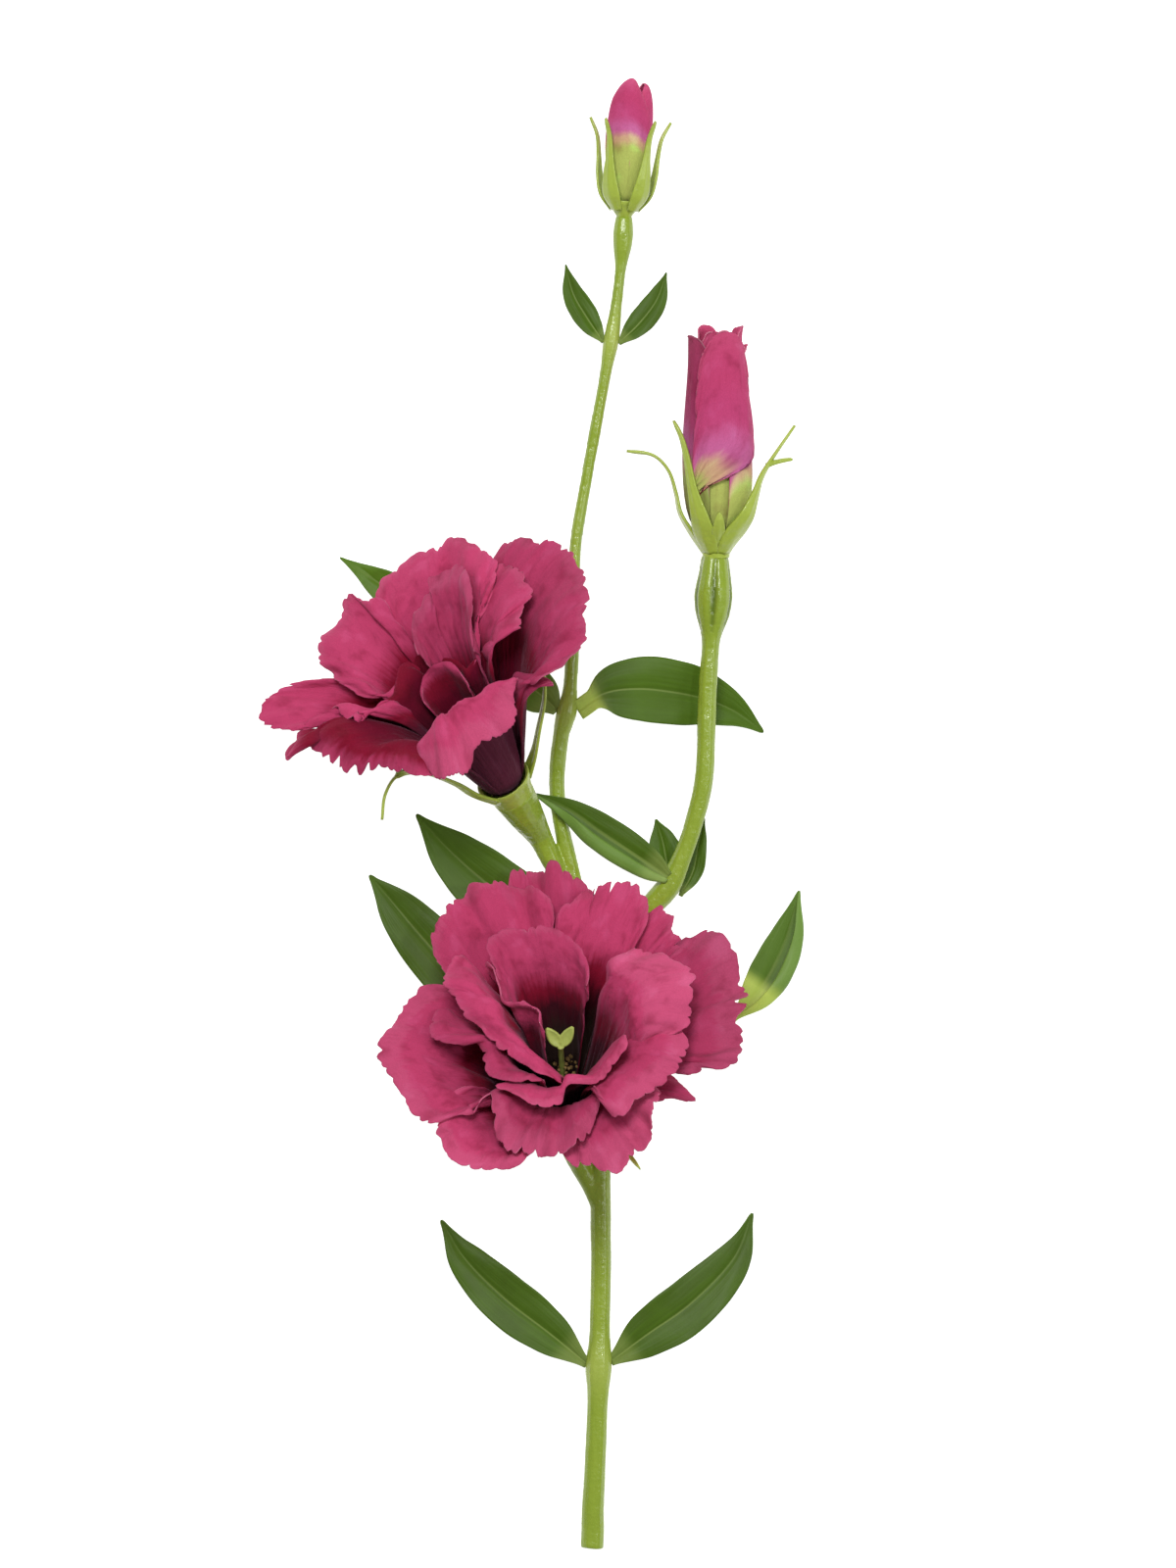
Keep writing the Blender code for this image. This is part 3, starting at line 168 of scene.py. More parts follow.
LOWER_PETALS = [
    # Outer ring, from the upper left and round to the right
    seen_petal(2, [
        (458, 1008, 26), (443, 980, 27), (441, 960, 27), (448, 938, 28), (463, 917, 29), (481, 905, 30),
        (502, 901, 30), (525, 899, 30), (549, 907, 31), (563, 922, 31), (566, 942, 31)
    ], waves=3.5, tone=0.92),
    seen_petal(2, [
        (494, 935, 25), (512, 905, 26), (531, 887, 27), (548, 888, 27), (565, 882, 28), (583, 893, 28),
        (604, 908, 28), (622, 935, 26)
    ], waves=1.5, ruffle=0.4, frill=0.25, tone=0.84),
    seen_petal(2, [
        (562, 944, 30), (570, 930, 30), (585, 921, 31), (597, 907, 31), (612, 902, 31), (636, 901, 31),
        (653, 907, 31), (662, 920, 30), (661, 942, 29), (655, 962, 28)
    ], waves=2, tone=0.95, frill=0.4, cuts=((-2.9, 0.4, 3.4), (0.4, 0.28, 3.2), (-3.8, 0.35, 1.6))),
    seen_petal(2, [
        (636, 955, 25), (658, 932, 26), (676, 925, 27), (686, 936, 27), (684, 951, 27), (697, 957, 26),
        (708, 980, 25)
    ], waves=1, ruffle=0.3, frill=0.15, scallop=0.3, lobe=5.0, tone=0.9),
    seen_petal(2, [
        (684, 988, 27), (698, 968, 28), (708, 956, 29), (723, 949, 29), (742, 965, 30), (756, 990, 30),
        (761, 1013, 30), (757, 1036, 30), (759, 1060, 29), (750, 1083, 29), (728, 1091, 28), (703, 1098, 28),
        (676, 1096, 26)
    ], waves=4, tone=0.74, frill=0.5, shade=-0.08, cuts=((2.0, 0.9, 3.2),)),
    seen_petal(2, [
        (680, 1088, 23), (694, 1103, 24), (705, 1122, 24), (686, 1122, 24), (664, 1128, 23)
    ], waves=0.5, ruffle=0.2, frill=0.15, scallop=0.4, belly=9.0, tone=0.75),
    seen_petal(2, [
        (672, 1098, 27), (675, 1118, 28), (666, 1136, 29), (662, 1160, 28), (649, 1181, 27), (625, 1194, 27),
        (600, 1193, 27), (580, 1184, 26), (562, 1165, 25)
    ], turn=0.45, arch=1.0, belly=11.0, shade=-0.10, tone=0.9),
    seen_petal(1, [
        (500, 1112, 29), (503, 1142, 29), (511, 1166, 29), (530, 1180, 29), (552, 1179, 29), (573, 1177, 29),
        (594, 1166, 29), (607, 1142, 29), (612, 1112, 29)
    ], waves=3, tone=0.84, turn=0.44, arch=0.5, belly=10.0, tip=0.05, frill=0.5, shade=-0.08),
    seen_petal(2, [
        (462, 1112, 26), (448, 1130, 27), (446, 1150, 28), (449, 1168, 27), (465, 1184, 27), (488, 1193, 27),
        (514, 1192, 27), (536, 1184, 26), (556, 1168, 25)
    ], flare=0.7, shade=-0.08),
    seen_petal(2, [
        (462, 990, 27), (450, 1003, 28), (430, 1011, 28), (410, 1026, 29), (400, 1050, 29), (382, 1073, 29),
        (396, 1091, 29), (409, 1119, 29), (424, 1138, 29), (446, 1146, 29), (472, 1137, 28), (494, 1118, 27)
    ], waves=4, frill=0.5, flare=0.6, shade=-0.08, tone=0.93),
    # Folded petals round the throat
    seen_petal(1, [
        (446, 1026, 31), (436, 1040, 32), (437, 1056, 32), (452, 1061, 32), (470, 1065, 32), (487, 1069, 32),
        (497, 1088, 32), (512, 1102, 32), (532, 1104, 32), (556, 1104, 32)
    ], waves=2, turn=0.62, arch=4, belly=9.0, tip=0.05, ruffle=0.6, frill=0.4, tone=0.82),
    seen_petal(1, [
        (672, 1040, 33), (693, 1048, 34), (702, 1065, 34), (699, 1083, 34), (686, 1094, 33), (668, 1112, 33),
        (650, 1126, 33), (632, 1138, 33), (616, 1131, 33), (611, 1112, 33)
    ], waves=1.5, turn=0.55, arch=3, tip=0.05, ruffle=0.5, frill=0.35, tone=0.92, shade=-0.08),
    seen_petal(0, [
        (502, 1000, 35), (498, 976, 36), (500, 957, 37), (513, 951, 38), (531, 947, 38), (550, 946, 38),
        (570, 950, 38), (586, 960, 38), (598, 976, 38), (602, 998, 37)
    ], waves=2, arch=0, ruffle=0.4, frill=0.4, belly=9.5, tone=0.84),
    seen_petal(0, [
        (628, 985, 34), (638, 972, 35), (653, 970, 36), (669, 971, 36), (685, 975, 37), (699, 986, 37),
        (708, 1002, 37), (709, 1022, 37), (704, 1042, 36), (688, 1057, 35), (662, 1064, 34)
    ], waves=2, turn=0.40, arch=7, ruffle=0.4, frill=0.35, belly=12.5, tip=0.05, shade=-0.22),
    seen_petal(0, [
        (470, 972, 34), (456, 984, 35), (452, 1002, 36), (466, 1020, 36), (478, 1041, 36), (499, 1060, 35),
        (521, 1078, 35), (545, 1093, 34), (575, 1103, 33)
    ], waves=1.5, turn=0.54, arch=6, ruffle=0.3, frill=0.3, belly=6.5, tip=0.03),
    seen_petal(0, [
        (503, 1106, 33), (526, 1117, 33), (546, 1129, 33), (572, 1125, 33), (581, 1107, 34), (608, 1105, 34),
        (622, 1092, 35), (634, 1076, 36), (641, 1056, 36)
    ], waves=1.5, turn=0.80, arch=2.5, ruffle=0.3, frill=0.3, tip=0.03, shade=-0.05),
    seen_petal(0, [
        (488, 976, 34), (500, 985, 35), (509, 1004, 36), (517, 1022, 37), (535, 1024, 37), (548, 1034, 36),
        (554, 1052, 35)
    ], waves=1.5, arch=0, ruffle=0.3, frill=0.3, belly=5.0, flare=0.85, tone=0.85, shade=-0.04),
]

LEFT_PETALS = [
    # Back and sides, from the left and over the top
    seen_petal(2, [
        (412, 672, 27), (404, 694, 27), (388, 709, 28), (368, 710, 29), (348, 699, 31), (336, 686, 32),
        (325, 671, 33), (329, 654, 33), (344, 638, 33), (346, 616, 34), (356, 604, 34), (367, 612, 34),
        (381, 597, 34)
    ], ruffle=0.5, frill=0.35, tone=0.94),
    seen_petal(2, [
        (366, 615, 31), (380, 599, 32), (393, 586, 33), (416, 570, 34), (440, 559, 35), (461, 550, 35),
        (484, 556, 36), (501, 566, 36), (506, 581, 35), (504, 600, 34), (496, 618, 33), (488, 636, 32),
        (484, 662, 30)
    ], waves=1.5, ruffle=0.5, frill=0.3, cuts=((-8.8, 0.5, 2.4),)),
    seen_petal(1, [
        (424, 662, 32), (417, 630, 34), (428, 619, 35), (439, 603, 36), (439, 589, 37), (456, 581, 37),
        (471, 579, 37), (480, 591, 37), (484, 615, 36), (483, 650, 34)
    ], waves=1, arch=0, ruffle=0.3, frill=0.2, crease=0.22, tone=0.77, shade=-0.1),
    seen_petal(2, [
        (482, 612, 27), (496, 582, 30), (510, 559, 33), (530, 552, 33), (548, 556, 33), (567, 549, 33),
        (585, 567, 32), (597, 590, 32), (600, 612, 31), (598, 636, 30), (592, 657, 29), (573, 680, 28),
        (550, 693, 27), (530, 690, 25)
    ], waves=3, tone=0.80, ruffle=0.7, belly=11.2),
    seen_petal(1, [
        (500, 600, 32), (505, 581, 34), (519, 577, 34), (534, 585, 34), (543, 602, 34), (534, 620, 33),
        (532, 640, 33), (512, 648, 31), (498, 659, 29)
    ], waves=1.5, ruffle=0.5, frill=0.35, turn=0.45, arch=2, tone=0.92, tip=0.05),
    # Folded lip in front with the dark tube beside it, and the sliver behind it
    seen_petal(2, [
        (528, 690, 28), (524, 712, 26), (525, 736, 25), (508, 750, 25), (486, 764, 25), (475, 786, 25),
        (462, 793, 26), (447, 792, 26), (433, 783, 26), (423, 765, 26)
    ], waves=1, turn=0.28, arch=13, belly=8.0, lean=0.5, ruffle=0.2, frill=0.12, uneven=0.3, tip=0.0,
        shade=-0.06, scallop=0.35, tone=0.93),
    seen_petal(2, [
        (530, 682, 25), (548, 689, 25), (565, 699, 25), (546, 694, 24), (528, 693, 23)
    ], waves=0.5, ruffle=0.2, frill=0.1, scallop=0.2, belly=10.6, tone=0.7),
    # Left side: fringed hem, the inside of its crest darkened as painted shade, and the long petal over it
    seen_petal(2, [
        (448, 792, 25), (430, 791, 26), (410, 785, 26), (385, 786, 26), (362, 790, 26), (342, 782, 27),
        (326, 768, 28), (312, 759, 28), (303, 763, 28), (291, 779, 28), (295, 764, 28), (303, 748, 28)
    ], waves=2, turn=0.80, arch=7, belly=7.5, lean=0.45, ruffle=0.4, frill=0.5, tip=0.02, shade=0.28,
        tone=0.88, lobe=2.2, scallop=1.3, cuts=((-9.3, 0.8, 3.4), (-6.4, 0.9, 3.6), (-2.1, 0.6, 3.0),
        (-0.3, 0.5, 2.0))),
    seen_petal(2, [
        (352, 690, 29), (328, 692, 30), (302, 697, 30), (278, 710, 29), (266, 727, 29), (282, 744, 28),
        (303, 748, 28), (322, 732, 29), (345, 723, 30), (354, 735, 30), (370, 728, 30), (378, 712, 29)
    ], waves=2, belly=8.0, ruffle=0.4, frill=0.4, lobe=2.3, scallop=1.3, shade=0.08),
    # Lobe low in the throat, the dark red inside behind it and the petal to its left; all three are darkened
    # as painted shade in the hollow
    seen_petal(0, [
        (437, 722, 24), (429, 703, 26), (433, 687, 27), (449, 678, 28), (466, 682, 28), (477, 697, 27)
    ], waves=1, arch=0, ruffle=0.3, frill=0.15, scallop=0.3, tone=0.8, shade=0.18),
    seen_petal(0, [
        (402, 702, 25), (410, 678, 26), (425, 667, 27), (441, 667, 27), (457, 671, 27), (475, 682, 27),
        (485, 672, 28), (497, 660, 28), (508, 650, 28)
    ], waves=1, arch=0, ruffle=0.3, frill=0.1, scallop=0.2, belly=6.0, tone=0.8, shade=0.42),
    seen_petal(1, [
        (376, 725, 28), (388, 717, 28), (399, 707, 28), (404, 692, 28), (411, 680, 28), (419, 673, 27)
    ], waves=0.5, arch=0, ruffle=0.2, frill=0.1, scallop=0.2, belly=7.4, tone=0.8, shade=0.40),
]

BUD_PETALS = [
    petal(2, [(228, 6.2, 36), (258, 6.0, 41), (290, 6.0, 42), (322, 5.8, 40), (356, 5.4, 35)], waves=2,
          shoulder=4.9, hem=(0.31, 0.50, 0.06)),
    petal(2, [(112, 5.8, 35), (150, 6.2, 39), (190, 6.4, 41), (226, 5.8, 40), (256, 5.2, 36)], belly=11.2,
          shoulder=4.3, waves=2.5, tone=0.62),
    petal(2, [(290, 5.6, 34), (335, 5.8, 38), (20, 5.8, 39), (70, 5.8, 39), (125, 5.4, 35)], belly=12.9,
          shoulder=2.4, waves=3),
    petal(1, [(205, 4.8, 38), (255, 5.0, 42), (305, 4.6, 40)], belly=9.6, shoulder=3.8, waves=2),
    petal(1, [(310, 4.2, 39), (0, 4.6, 43), (60, 4.4, 42)], belly=9.2, shoulder=3.7, waves=2),
    petal(1, [(70, 4.2, 39), (125, 4.6, 43), (180, 4.4, 41)], belly=8.8, shoulder=3.6, waves=2),
]
BUD_FORM = dict(arch=0.0, ruffle=0.25, lean=3.0, belly=12.0, shoulder=4.6, slim=0.55, neck=0.04,
                scallop=0.4, frill=0.1, dent=0.15, cells=72)

TOP_PETALS = [
    petal(1, [(150, 1.9, 20), (210, 2.1, 24), (270, 2.1, 25), (330, 1.8, 21)], waves=1),
    petal(1, [(274, 1.8, 19), (333, 2.2, 23), (34, 2.3, 24), (93, 1.9, 20)], belly=5.2, waves=1),
    petal(1, [(27, 1.6, 20), (86, 1.6, 23), (145, 1.6, 23), (206, 1.5, 20)], belly=4.9, waves=1),
]
TOP_FORM = dict(arch=0.0, ruffle=0.2, lean=3.0, belly=5.5, slim=0.8, scallop=0.2, frill=0.08, dent=0.08,
                cells=48)

# Cups under the blooms: height along the bloom, radius (mm)
LEFT_CUP = [(-4.2, 4.2), (-3.0, 4.5), (-1.5, 4.9), (0.2, 5.5), (1.2, 5.6), (0.8, 4.9)]
LOWER_CUP = [(-4.2, 3.7), (-3.0, 4.2), (-1.5, 4.8), (0.2, 5.5), (1.2, 5.6), (0.8, 4.9)]
BUD_CUP = [(-3.9, 2.7), (-2.6, 2.95), (-1.2, 3.6), (0.2, 4.4), (1.4, 5.0), (1.0, 4.3)]
TOP_CUP = [(-2.6, 1.5), (-2.0, 1.9), (-1.0, 2.7), (0.0, 3.6), (0.6, 3.8), (0.4, 3.2)]
CUP_AROUND = 60
CUP_ALONG = 24
CUP_LOBES = 5
CUP_FURROW = 0.25
SEAM = 0.01

# Sepals: angle about the throat, then radius and height along the blade (mm), half width
SEPAL_THICKNESS = 0.55
SEPAL_ACROSS = 10
SEPAL_ALONG = 40
SEPAL_TIP = 0.06
SEPAL_KEEL = 0.18
SEPAL_HALF_WIDTHS = [1.5, 1.35, 1.1, 0.8, 0.5, 0.3]
WIDE_SEPAL_HALF_WIDTHS = [1.9, 1.9, 1.6, 1.1, 0.7, 0.45, 0.3]
LEFT_SEPALS = [
    [(222, 4.8, -1.2), (211, 7.8, 4.5), (202, 9.4, 9.5), (188, 12.6, 14.5), (178, 17.0, 15.8),
     (181, 21.5, 14.2), (186, 25.0, 10.8)],
    [(0, 4.8, -1.2), (352, 8.3, 3.5), (352, 11.6, 8.5), (354, 15.2, 13.5), (356, 17.4, 17.5),
     (358, 18.6, 21.0)],
    [(60, 4.9, -1.2), (60, 9.1, 4.5), (60, 12.8, 10.0), (62, 18.5, 14.5), (64, 24.0, 18.0), (66, 28.5, 20.5)],
    [(128, 4.9, -1.2), (128, 9.1, 4.5), (128, 12.8, 10.0), (126, 18.0, 14.0), (124, 23.5, 17.0),
     (122, 28.0, 19.5)],
]
LOWER_SEPAL_ANGLES = (12, 66, 138, 212, 300)
LOWER_SEPAL_PROFILE = [(4.8, -1.2), (9.0, 4.5), (12.6, 10.5), (18.0, 16.0), (23.5, 19.5), (29.0, 20.5)]
BUD_SEPALS = [
    [(184, 2.5, -3.0), (184, 5.3, 1.0), (184, 7.5, 5.0), (182, 8.3, 9.0), (180, 9.8, 13.5), (178, 13.0, 16.6),
     (177, 18.4, 17.4)],
    [(241, 2.5, -3.0), (241, 5.45, 1.0), (241, 7.6, 5.0), (233, 8.5, 10.5), (226, 9.0, 16.4),
     (219, 9.5, 20.6), (210, 10.4, 24.0)],
    [(307, 2.5, -3.0), (309, 5.8, 1.0), (315, 8.6, 5.0), (326, 9.3, 9.3), (337, 9.7, 12.8), (350, 11.4, 16.6),
     (0, 15.6, 23.0)],
    [(35, 2.5, -3.0), (36, 5.5, 1.0), (40, 8.3, 5.0), (48, 9.2, 9.5), (56, 9.4, 14.0), (63, 9.5, 17.5),
     (68, 9.6, 20.5)],
    [(112, 2.5, -3.0), (112, 5.5, 1.0), (114, 8.3, 5.0), (118, 9.2, 9.5), (122, 9.6, 14.0), (124, 9.9, 18.0),
     (126, 10.3, 21.5)],
]
BUD_SEPAL_HALF_WIDTHS = [1.7, 2.5, 1.9, 1.1, 0.75, 0.5, 0.35]
BUD_FORK = [(344, 10.2, 14.9), (349, 11.8, 15.6), (354, 13.5, 16.0), (358, 15.2, 16.2)]
BUD_FORK_HALF_WIDTHS = [0.5, 0.45, 0.4, 0.3]
BUD_BRACT = [(273, 3.7, -0.9), (273, 5.8, 1.5), (273, 7.3, 3.8), (273, 7.9, 5.8)]
BUD_BRACT_HALF_WIDTHS = [0.9, 1.3, 1.0, 0.3]
TOP_SEPAL_ANGLES = (18, 90, 162, 234, 306)
TOP_SEPAL_PROFILE = [(2.8, -1.3), (5.1, 1.6), (6.0, 5.5), (6.3, 9.5), (6.9, 13.5), (8.6, 17.0)]
TOP_SEPAL_HALF_WIDTHS = [1.2, 2.0, 1.5, 0.8, 0.5, 0.3]

# Leaves: midrib points (square across, square down, height), half width (mm) and bare stalk
LEAVES = {
    "leaf_upper_left": ([(564.5, 721, 7.2), (548, 706, 6.6), (500, 670, 5.0), (440, 630, 2.6),
                         (390, 597, 0.7), (366, 581, 0.1), (347, 569, 0.1)], 5.2, 0.0),
    "leaf_upper_right": ([(594.5, 722, 7.2), (617, 707.5, 7.2), (650, 703, 6.3), (684, 706, 5.0),
                          (718, 713, 3.2), (750, 726, 1.2), (779, 747, 0.1)], 6.8, 0.1),
    "leaf_bud_left": ([(677, 892, 8.3), (645, 870, 9.4), (612, 848, 9.6), (582, 827, 9.3), (546, 810, 8.6)],
                      3.9, 0.0),
    "leaf_bud_back": ([(682, 896, 2.9), (680, 880, 2.8), (676, 858, 2.7), (669, 836, 2.6)], 3.5, 0.0),
    "leaf_bud_right": ([(697, 909, 3.8), (707, 889, 3.3), (712.5, 862, 3.2), (719, 835, 3.4)], 2.1, 0.0),
    "leaf_middle_left": ([(592.5, 1102, 5.0), (545, 1070, 4.8), (485, 1017, 4.4), (432, 958, 3.6),
                          (400, 920, 3.0), (377, 893, 2.6)], 6.4, 0.0),
    "leaf_inner_left": ([(580, 958, 4.8), (545, 936, 4.8), (500, 904, 4.8), (458, 867, 4.4), (425, 831, 3.8)],
                        6.9, 0.0),
    "leaf_middle_right": ([(626, 1106, 5.0), (690, 1076, 5.0), (746, 1040, 5.0), (778, 1005, 4.6),
                           (801, 960, 3.8), (815, 909, 3.0)], 4.3, 0.42),
    "leaf_base_left": ([(594.7, 1388, 5.0), (560, 1360, 5.4), (515, 1325, 5.0), (475, 1285, 3.8),
                        (450, 1245, 2.6)], 5.4, 0.0),
    "leaf_base_right": ([(627.5, 1386, 5.0), (660, 1362, 5.6), (705, 1330, 5.4), (748, 1285, 4.2),
                         (768, 1238, 2.8)], 5.6, 0.0),
    "leaf_top_left": ([(612.5, 344, 8.0), (600, 326, 7.8), (585, 300, 6.8), (577, 270, 5.6)], 2.6, 0.0),
    "leaf_top_right": ([(635.5, 346, 8.0), (652, 330, 7.8), (670, 306, 6.8), (680, 278, 5.6)], 2.6, 0.0),
}

# Outlines of a leaf: place along the blade, and half width there
LEAF_OUTLINE = [(0.0, 0.13), (0.08, 0.36), (0.2, 0.76), (0.38, 1.0), (0.58, 0.94), (0.76, 0.66), (0.9, 0.25),
                (1.0, 0.03)]
BLUNT_OUTLINE = [(0.0, 0.18), (0.03, 0.45), (0.09, 0.72), (0.19, 0.89), (0.28, 0.97), (0.37, 1.0),
                 (0.56, 0.92), (0.77, 0.57), (0.88, 0.30), (1.0, 0.03)]
SLIM_OUTLINE = [(0.0, 0.13), (0.06, 0.50), (0.15, 0.85), (0.3, 1.0), (0.6, 0.78), (0.78, 0.36), (0.9, 0.15),
                (1.0, 0.03)]

# Blade (mm): how deep its foot goes into the stem, where a bare stalk ends and how softly, size of
# the rib, number and depth of the veins, height and lengths of the edge's waves, and how far these
# are ahead on one side
LEAF_THICKNESS = 0.45
LEAF_ACROSS = 28
LEAF_ALONG = 64
LEAF_TUCK = 1.2
STALK_END = 1.5
STALK_FADE = 0.05
RIB_WIDTH = 0.55
RIB_DEPTH = 0.22
LEAF_VEINS = 7
VEIN_DEPTH = 0.012
LEAF_WAVE = 0.35
LEAF_WAVES = (12, 30)
WAVE_LEAD = 9
LEAF_SEED = 40

# Cross-sections of a leaf, in half widths: place across and lift, evenly spaced along the blade's
# skin, and where along it the midrib runs
FLAT_SECTION = ([(-1.0, 0.15), (-0.5, 0.1), (0.0, 0.0), (0.5, 0.1), (1.0, 0.15)], 0.0)
ROLLED_LEFT = ([(-0.30, 0.42), (-0.66, 0.46), (-0.97, 0.30), (-0.90, 0.06), (-0.5, 0.0), (-0.1, 0.0),
                (0.3, 0.06), (0.66, 0.12), (1.0, 0.16)], 0.30)
ROLLED_RIGHT = ([(-1.0, 0.16), (-0.66, 0.12), (-0.3, 0.06), (0.1, 0.0), (0.5, 0.0), (0.90, 0.06),
                 (0.97, 0.30), (0.66, 0.46), (0.36, 0.44)], -0.30)

# What sets single leaves apart: section, outline, and how light the blade is
LEAF_LOOKS = {
    "leaf_upper_left": dict(outline=SLIM_OUTLINE, tone=0.6),
    "leaf_upper_right": dict(outline=BLUNT_OUTLINE, tone=0.15),
    "leaf_bud_left": dict(section=ROLLED_LEFT, outline=BLUNT_OUTLINE),
    "leaf_middle_right": dict(section=ROLLED_RIGHT, tone=0.3),
    "leaf_inner_left": dict(tone=0.2),
}

# Style in the lower bloom: height along the bloom, radius (mm)
PISTIL_TOP = 27.5
PISTIL_PROFILE = [(6.0, 1.7), (9.0, 1.9), (12.5, 1.3), (15.0, 0.8), (20.0, 0.62), (26.0, 0.62),
                  (PISTIL_TOP, 0.85)]
PISTIL_STEP = 1.0
PISTIL_VOXEL = 0.2
PISTIL_SMOOTHING = 4

# Its two lobes: the way they lean and face, sizes (mm) and cells of the mesh
LOBE_LEAN = (0.50, 0.42, 0.70)
LOBE_FACE = (0.0, -0.5, 0.85)
LOBE_LENGTH = 5.0
LOBE_HALF_WIDTH = 1.25
LOBE_THICKNESS = 0.55
LOBE_HOLLOW = 0.33
LOBE_SINK = 0.3
LOBE_ACROSS = 12
LOBE_ALONG = 22

# Grains of the anthers: how many, distance from the bloom's axis, height along it, radius (mm)
ANTHER_GRAINS = 26
ANTHER_REACH = (0.8, 3.4)
ANTHER_HEIGHT = (16.5, 20.5)
ANTHER_RADIUS = (0.28, 0.55)

# Colours, and the distance from thread to thread of the cloth
PINK = (0.53, 0.050, 0.145)
RIM = (0.57, 0.075, 0.18)
# The next four colours, darker toward the throat, are partly the cloth's darker dye at its foot and partly
# painted shade; the two near black ones are mostly painted shade in the throat
CRIMSON = (0.24, 0.004, 0.026)
THROAT_DYE_AND_SHADE = (0.028, 0.015, 0.010)
DEEP_DYE_AND_SHADE = (0.055, 0.003, 0.010)
TUBE = (0.10, 0.014, 0.034)
GREEN = (0.44, 0.50, 0.12)
CLOTH_DARK = (0.72, 0.58, 0.62)
CLOTH_PALE = (1.10, 1.35, 1.25)
STALK_COLOUR = (0.40, 0.52, 0.09)
# Painted shade for the furrows of the ribbed swelling
FURROW_SHADE_COLOUR = (0.06, 0.10, 0.008)
THREAD = 0.42

# Cloth: strength of its streaks and of its drifts of colour, then places from foot to rim and colours.
# The near black and dark red colours toward the foot are partly the dye and partly painted shade in
# the throat and its hollows.
CLOTHS = {
    "petal_back": (0.12, 0.18, (0.40, TUBE), (0.58, CRIMSON), (0.72, PINK), (0.93, PINK), (1.0, RIM)),
    "petal_face": (0.12, 0.18, (0.36, THROAT_DYE_AND_SHADE), (0.48, DEEP_DYE_AND_SHADE), (0.60, CRIMSON), (0.74, PINK), (0.95, PINK),
                   (1.0, RIM)),
    "petal_edge": (0.12, 0.18, (0.0, TUBE), (0.4, CRIMSON), (0.6, RIM), (1.0, (0.64, 0.14, 0.25))),
    "left_face": (0.12, 0.18, (0.0, (0.06, 0.003, 0.012)), (0.34, (0.15, 0.002, 0.020)), (0.56, CRIMSON),
                  (0.72, PINK), (0.95, PINK), (1.0, RIM)),
    "bud_back": (0.03, 0.06, (0.33, GREEN), (0.39, (0.60, 0.38, 0.22)), (0.45, (0.55, 0.12, 0.30)),
                 (0.56, (0.50, 0.055, 0.17)), (0.7, (0.50, 0.05, 0.15)), (1.0, RIM)),
    "bud_face": (0.12, 0.18, (0.0, GREEN), (0.3, CRIMSON), (0.7, PINK), (1.0, RIM)),
    "bud_edge": (0.12, 0.18, (0.30, GREEN), (0.37, (0.58, 0.20, 0.16)), (0.5, PINK), (1.0, (0.66, 0.2, 0.3))),
}

# Leaf: colours of the blade, of its lighter parts and of its rib
LEAF_COLOURS = {
    "leaf_top": ((0.040, 0.076, 0.003), (0.10, 0.21, 0.010), (0.20, 0.27, 0.06)),
    "leaf_under": ((0.11, 0.20, 0.03), (0.16, 0.28, 0.05), (0.25, 0.36, 0.09)),
    "leaf_edge": ((0.08, 0.15, 0.02), (0.12, 0.22, 0.03), (0.16, 0.24, 0.05)),
}

# Moulded parts: roughness, the two colours of the streaks, and the colour of joints or tips
PLASTICS = {
    "stem_plastic": (0.22, (0.20, 0.285, 0.020), (0.27, 0.365, 0.036), (0.38, 0.46, 0.09)),
    "calyx_plastic": (0.25, (0.28, 0.37, 0.035), (0.37, 0.47, 0.06), (0.40, 0.48, 0.10)),
    "pistil_plastic": (0.4, (0.30, 0.36, 0.07), (0.42, 0.48, 0.12), (0.42, 0.52, 0.13)),
    "anther_dust": (0.7, (0.10, 0.055, 0.018), (0.24, 0.16, 0.05), (0.16, 0.1, 0.03)),
}

# Studio, in metres; the lights' places, diameters and watts; the camera's sensor in millimetres
FLOOR_SIZE = 3.0
FLOOR_GAP = 0.0002
DOME_STRENGTH = 0.28
LIGHTS = {
    "key": ((-0.14, 0.55, 1.35), 0.5, 15.0),
    "gloss": ((0.35, 0.05, 1.0), 0.06, 1.4),
    "fill": ((0.75, -0.05, 0.75), 0.4, 2.0),
}
SENSOR = 36.0


def seen(across, down, height):
    """Plan point (mm) that lines up with a square of the sheet, at a height above it."""
    scale = SQUARE * (EYE_HEIGHT - height) / EYE_HEIGHT
    return np.array([(across - SHEET_MIDDLE[0]) * scale, (SHEET_MIDDLE[1] - down) * scale, height])


def look_frame(base, look):
    """Base point and the three axes of a bloom: to its side, over its throat, out along it."""
    turn, rise = (math.radians(angle) for angle in look)
    axis = np.array([math.cos(turn) * math.cos(rise), math.sin(turn) * math.cos(rise), math.sin(rise)])
    side = np.array([math.sin(turn), -math.cos(turn), 0.0])
    return seen(*base), np.array([side, np.cross(axis, side), axis])


def through(rows, place):
    """Smooth curve through evenly spaced rows, at places from 0 to the last row's number."""
    rows = np.asarray(rows, float)
    place = np.clip(np.asarray(place, float), 0, len(rows) - 1)
    index = np.minimum(place.astype(int), len(rows) - 2)
    t = (place - index)[..., None]
    ends = np.vstack([2 * rows[0] - rows[1], rows, 2 * rows[-1] - rows[-2]])
    a, b, c, d = ends[index], ends[index + 1], ends[index + 2], ends[index + 3]
    return b + 0.5 * ((c - a) * t + (2 * a - 5 * b + 4 * c - d) * t**2 + (3 * b - a - 3 * c + d) * t**3)


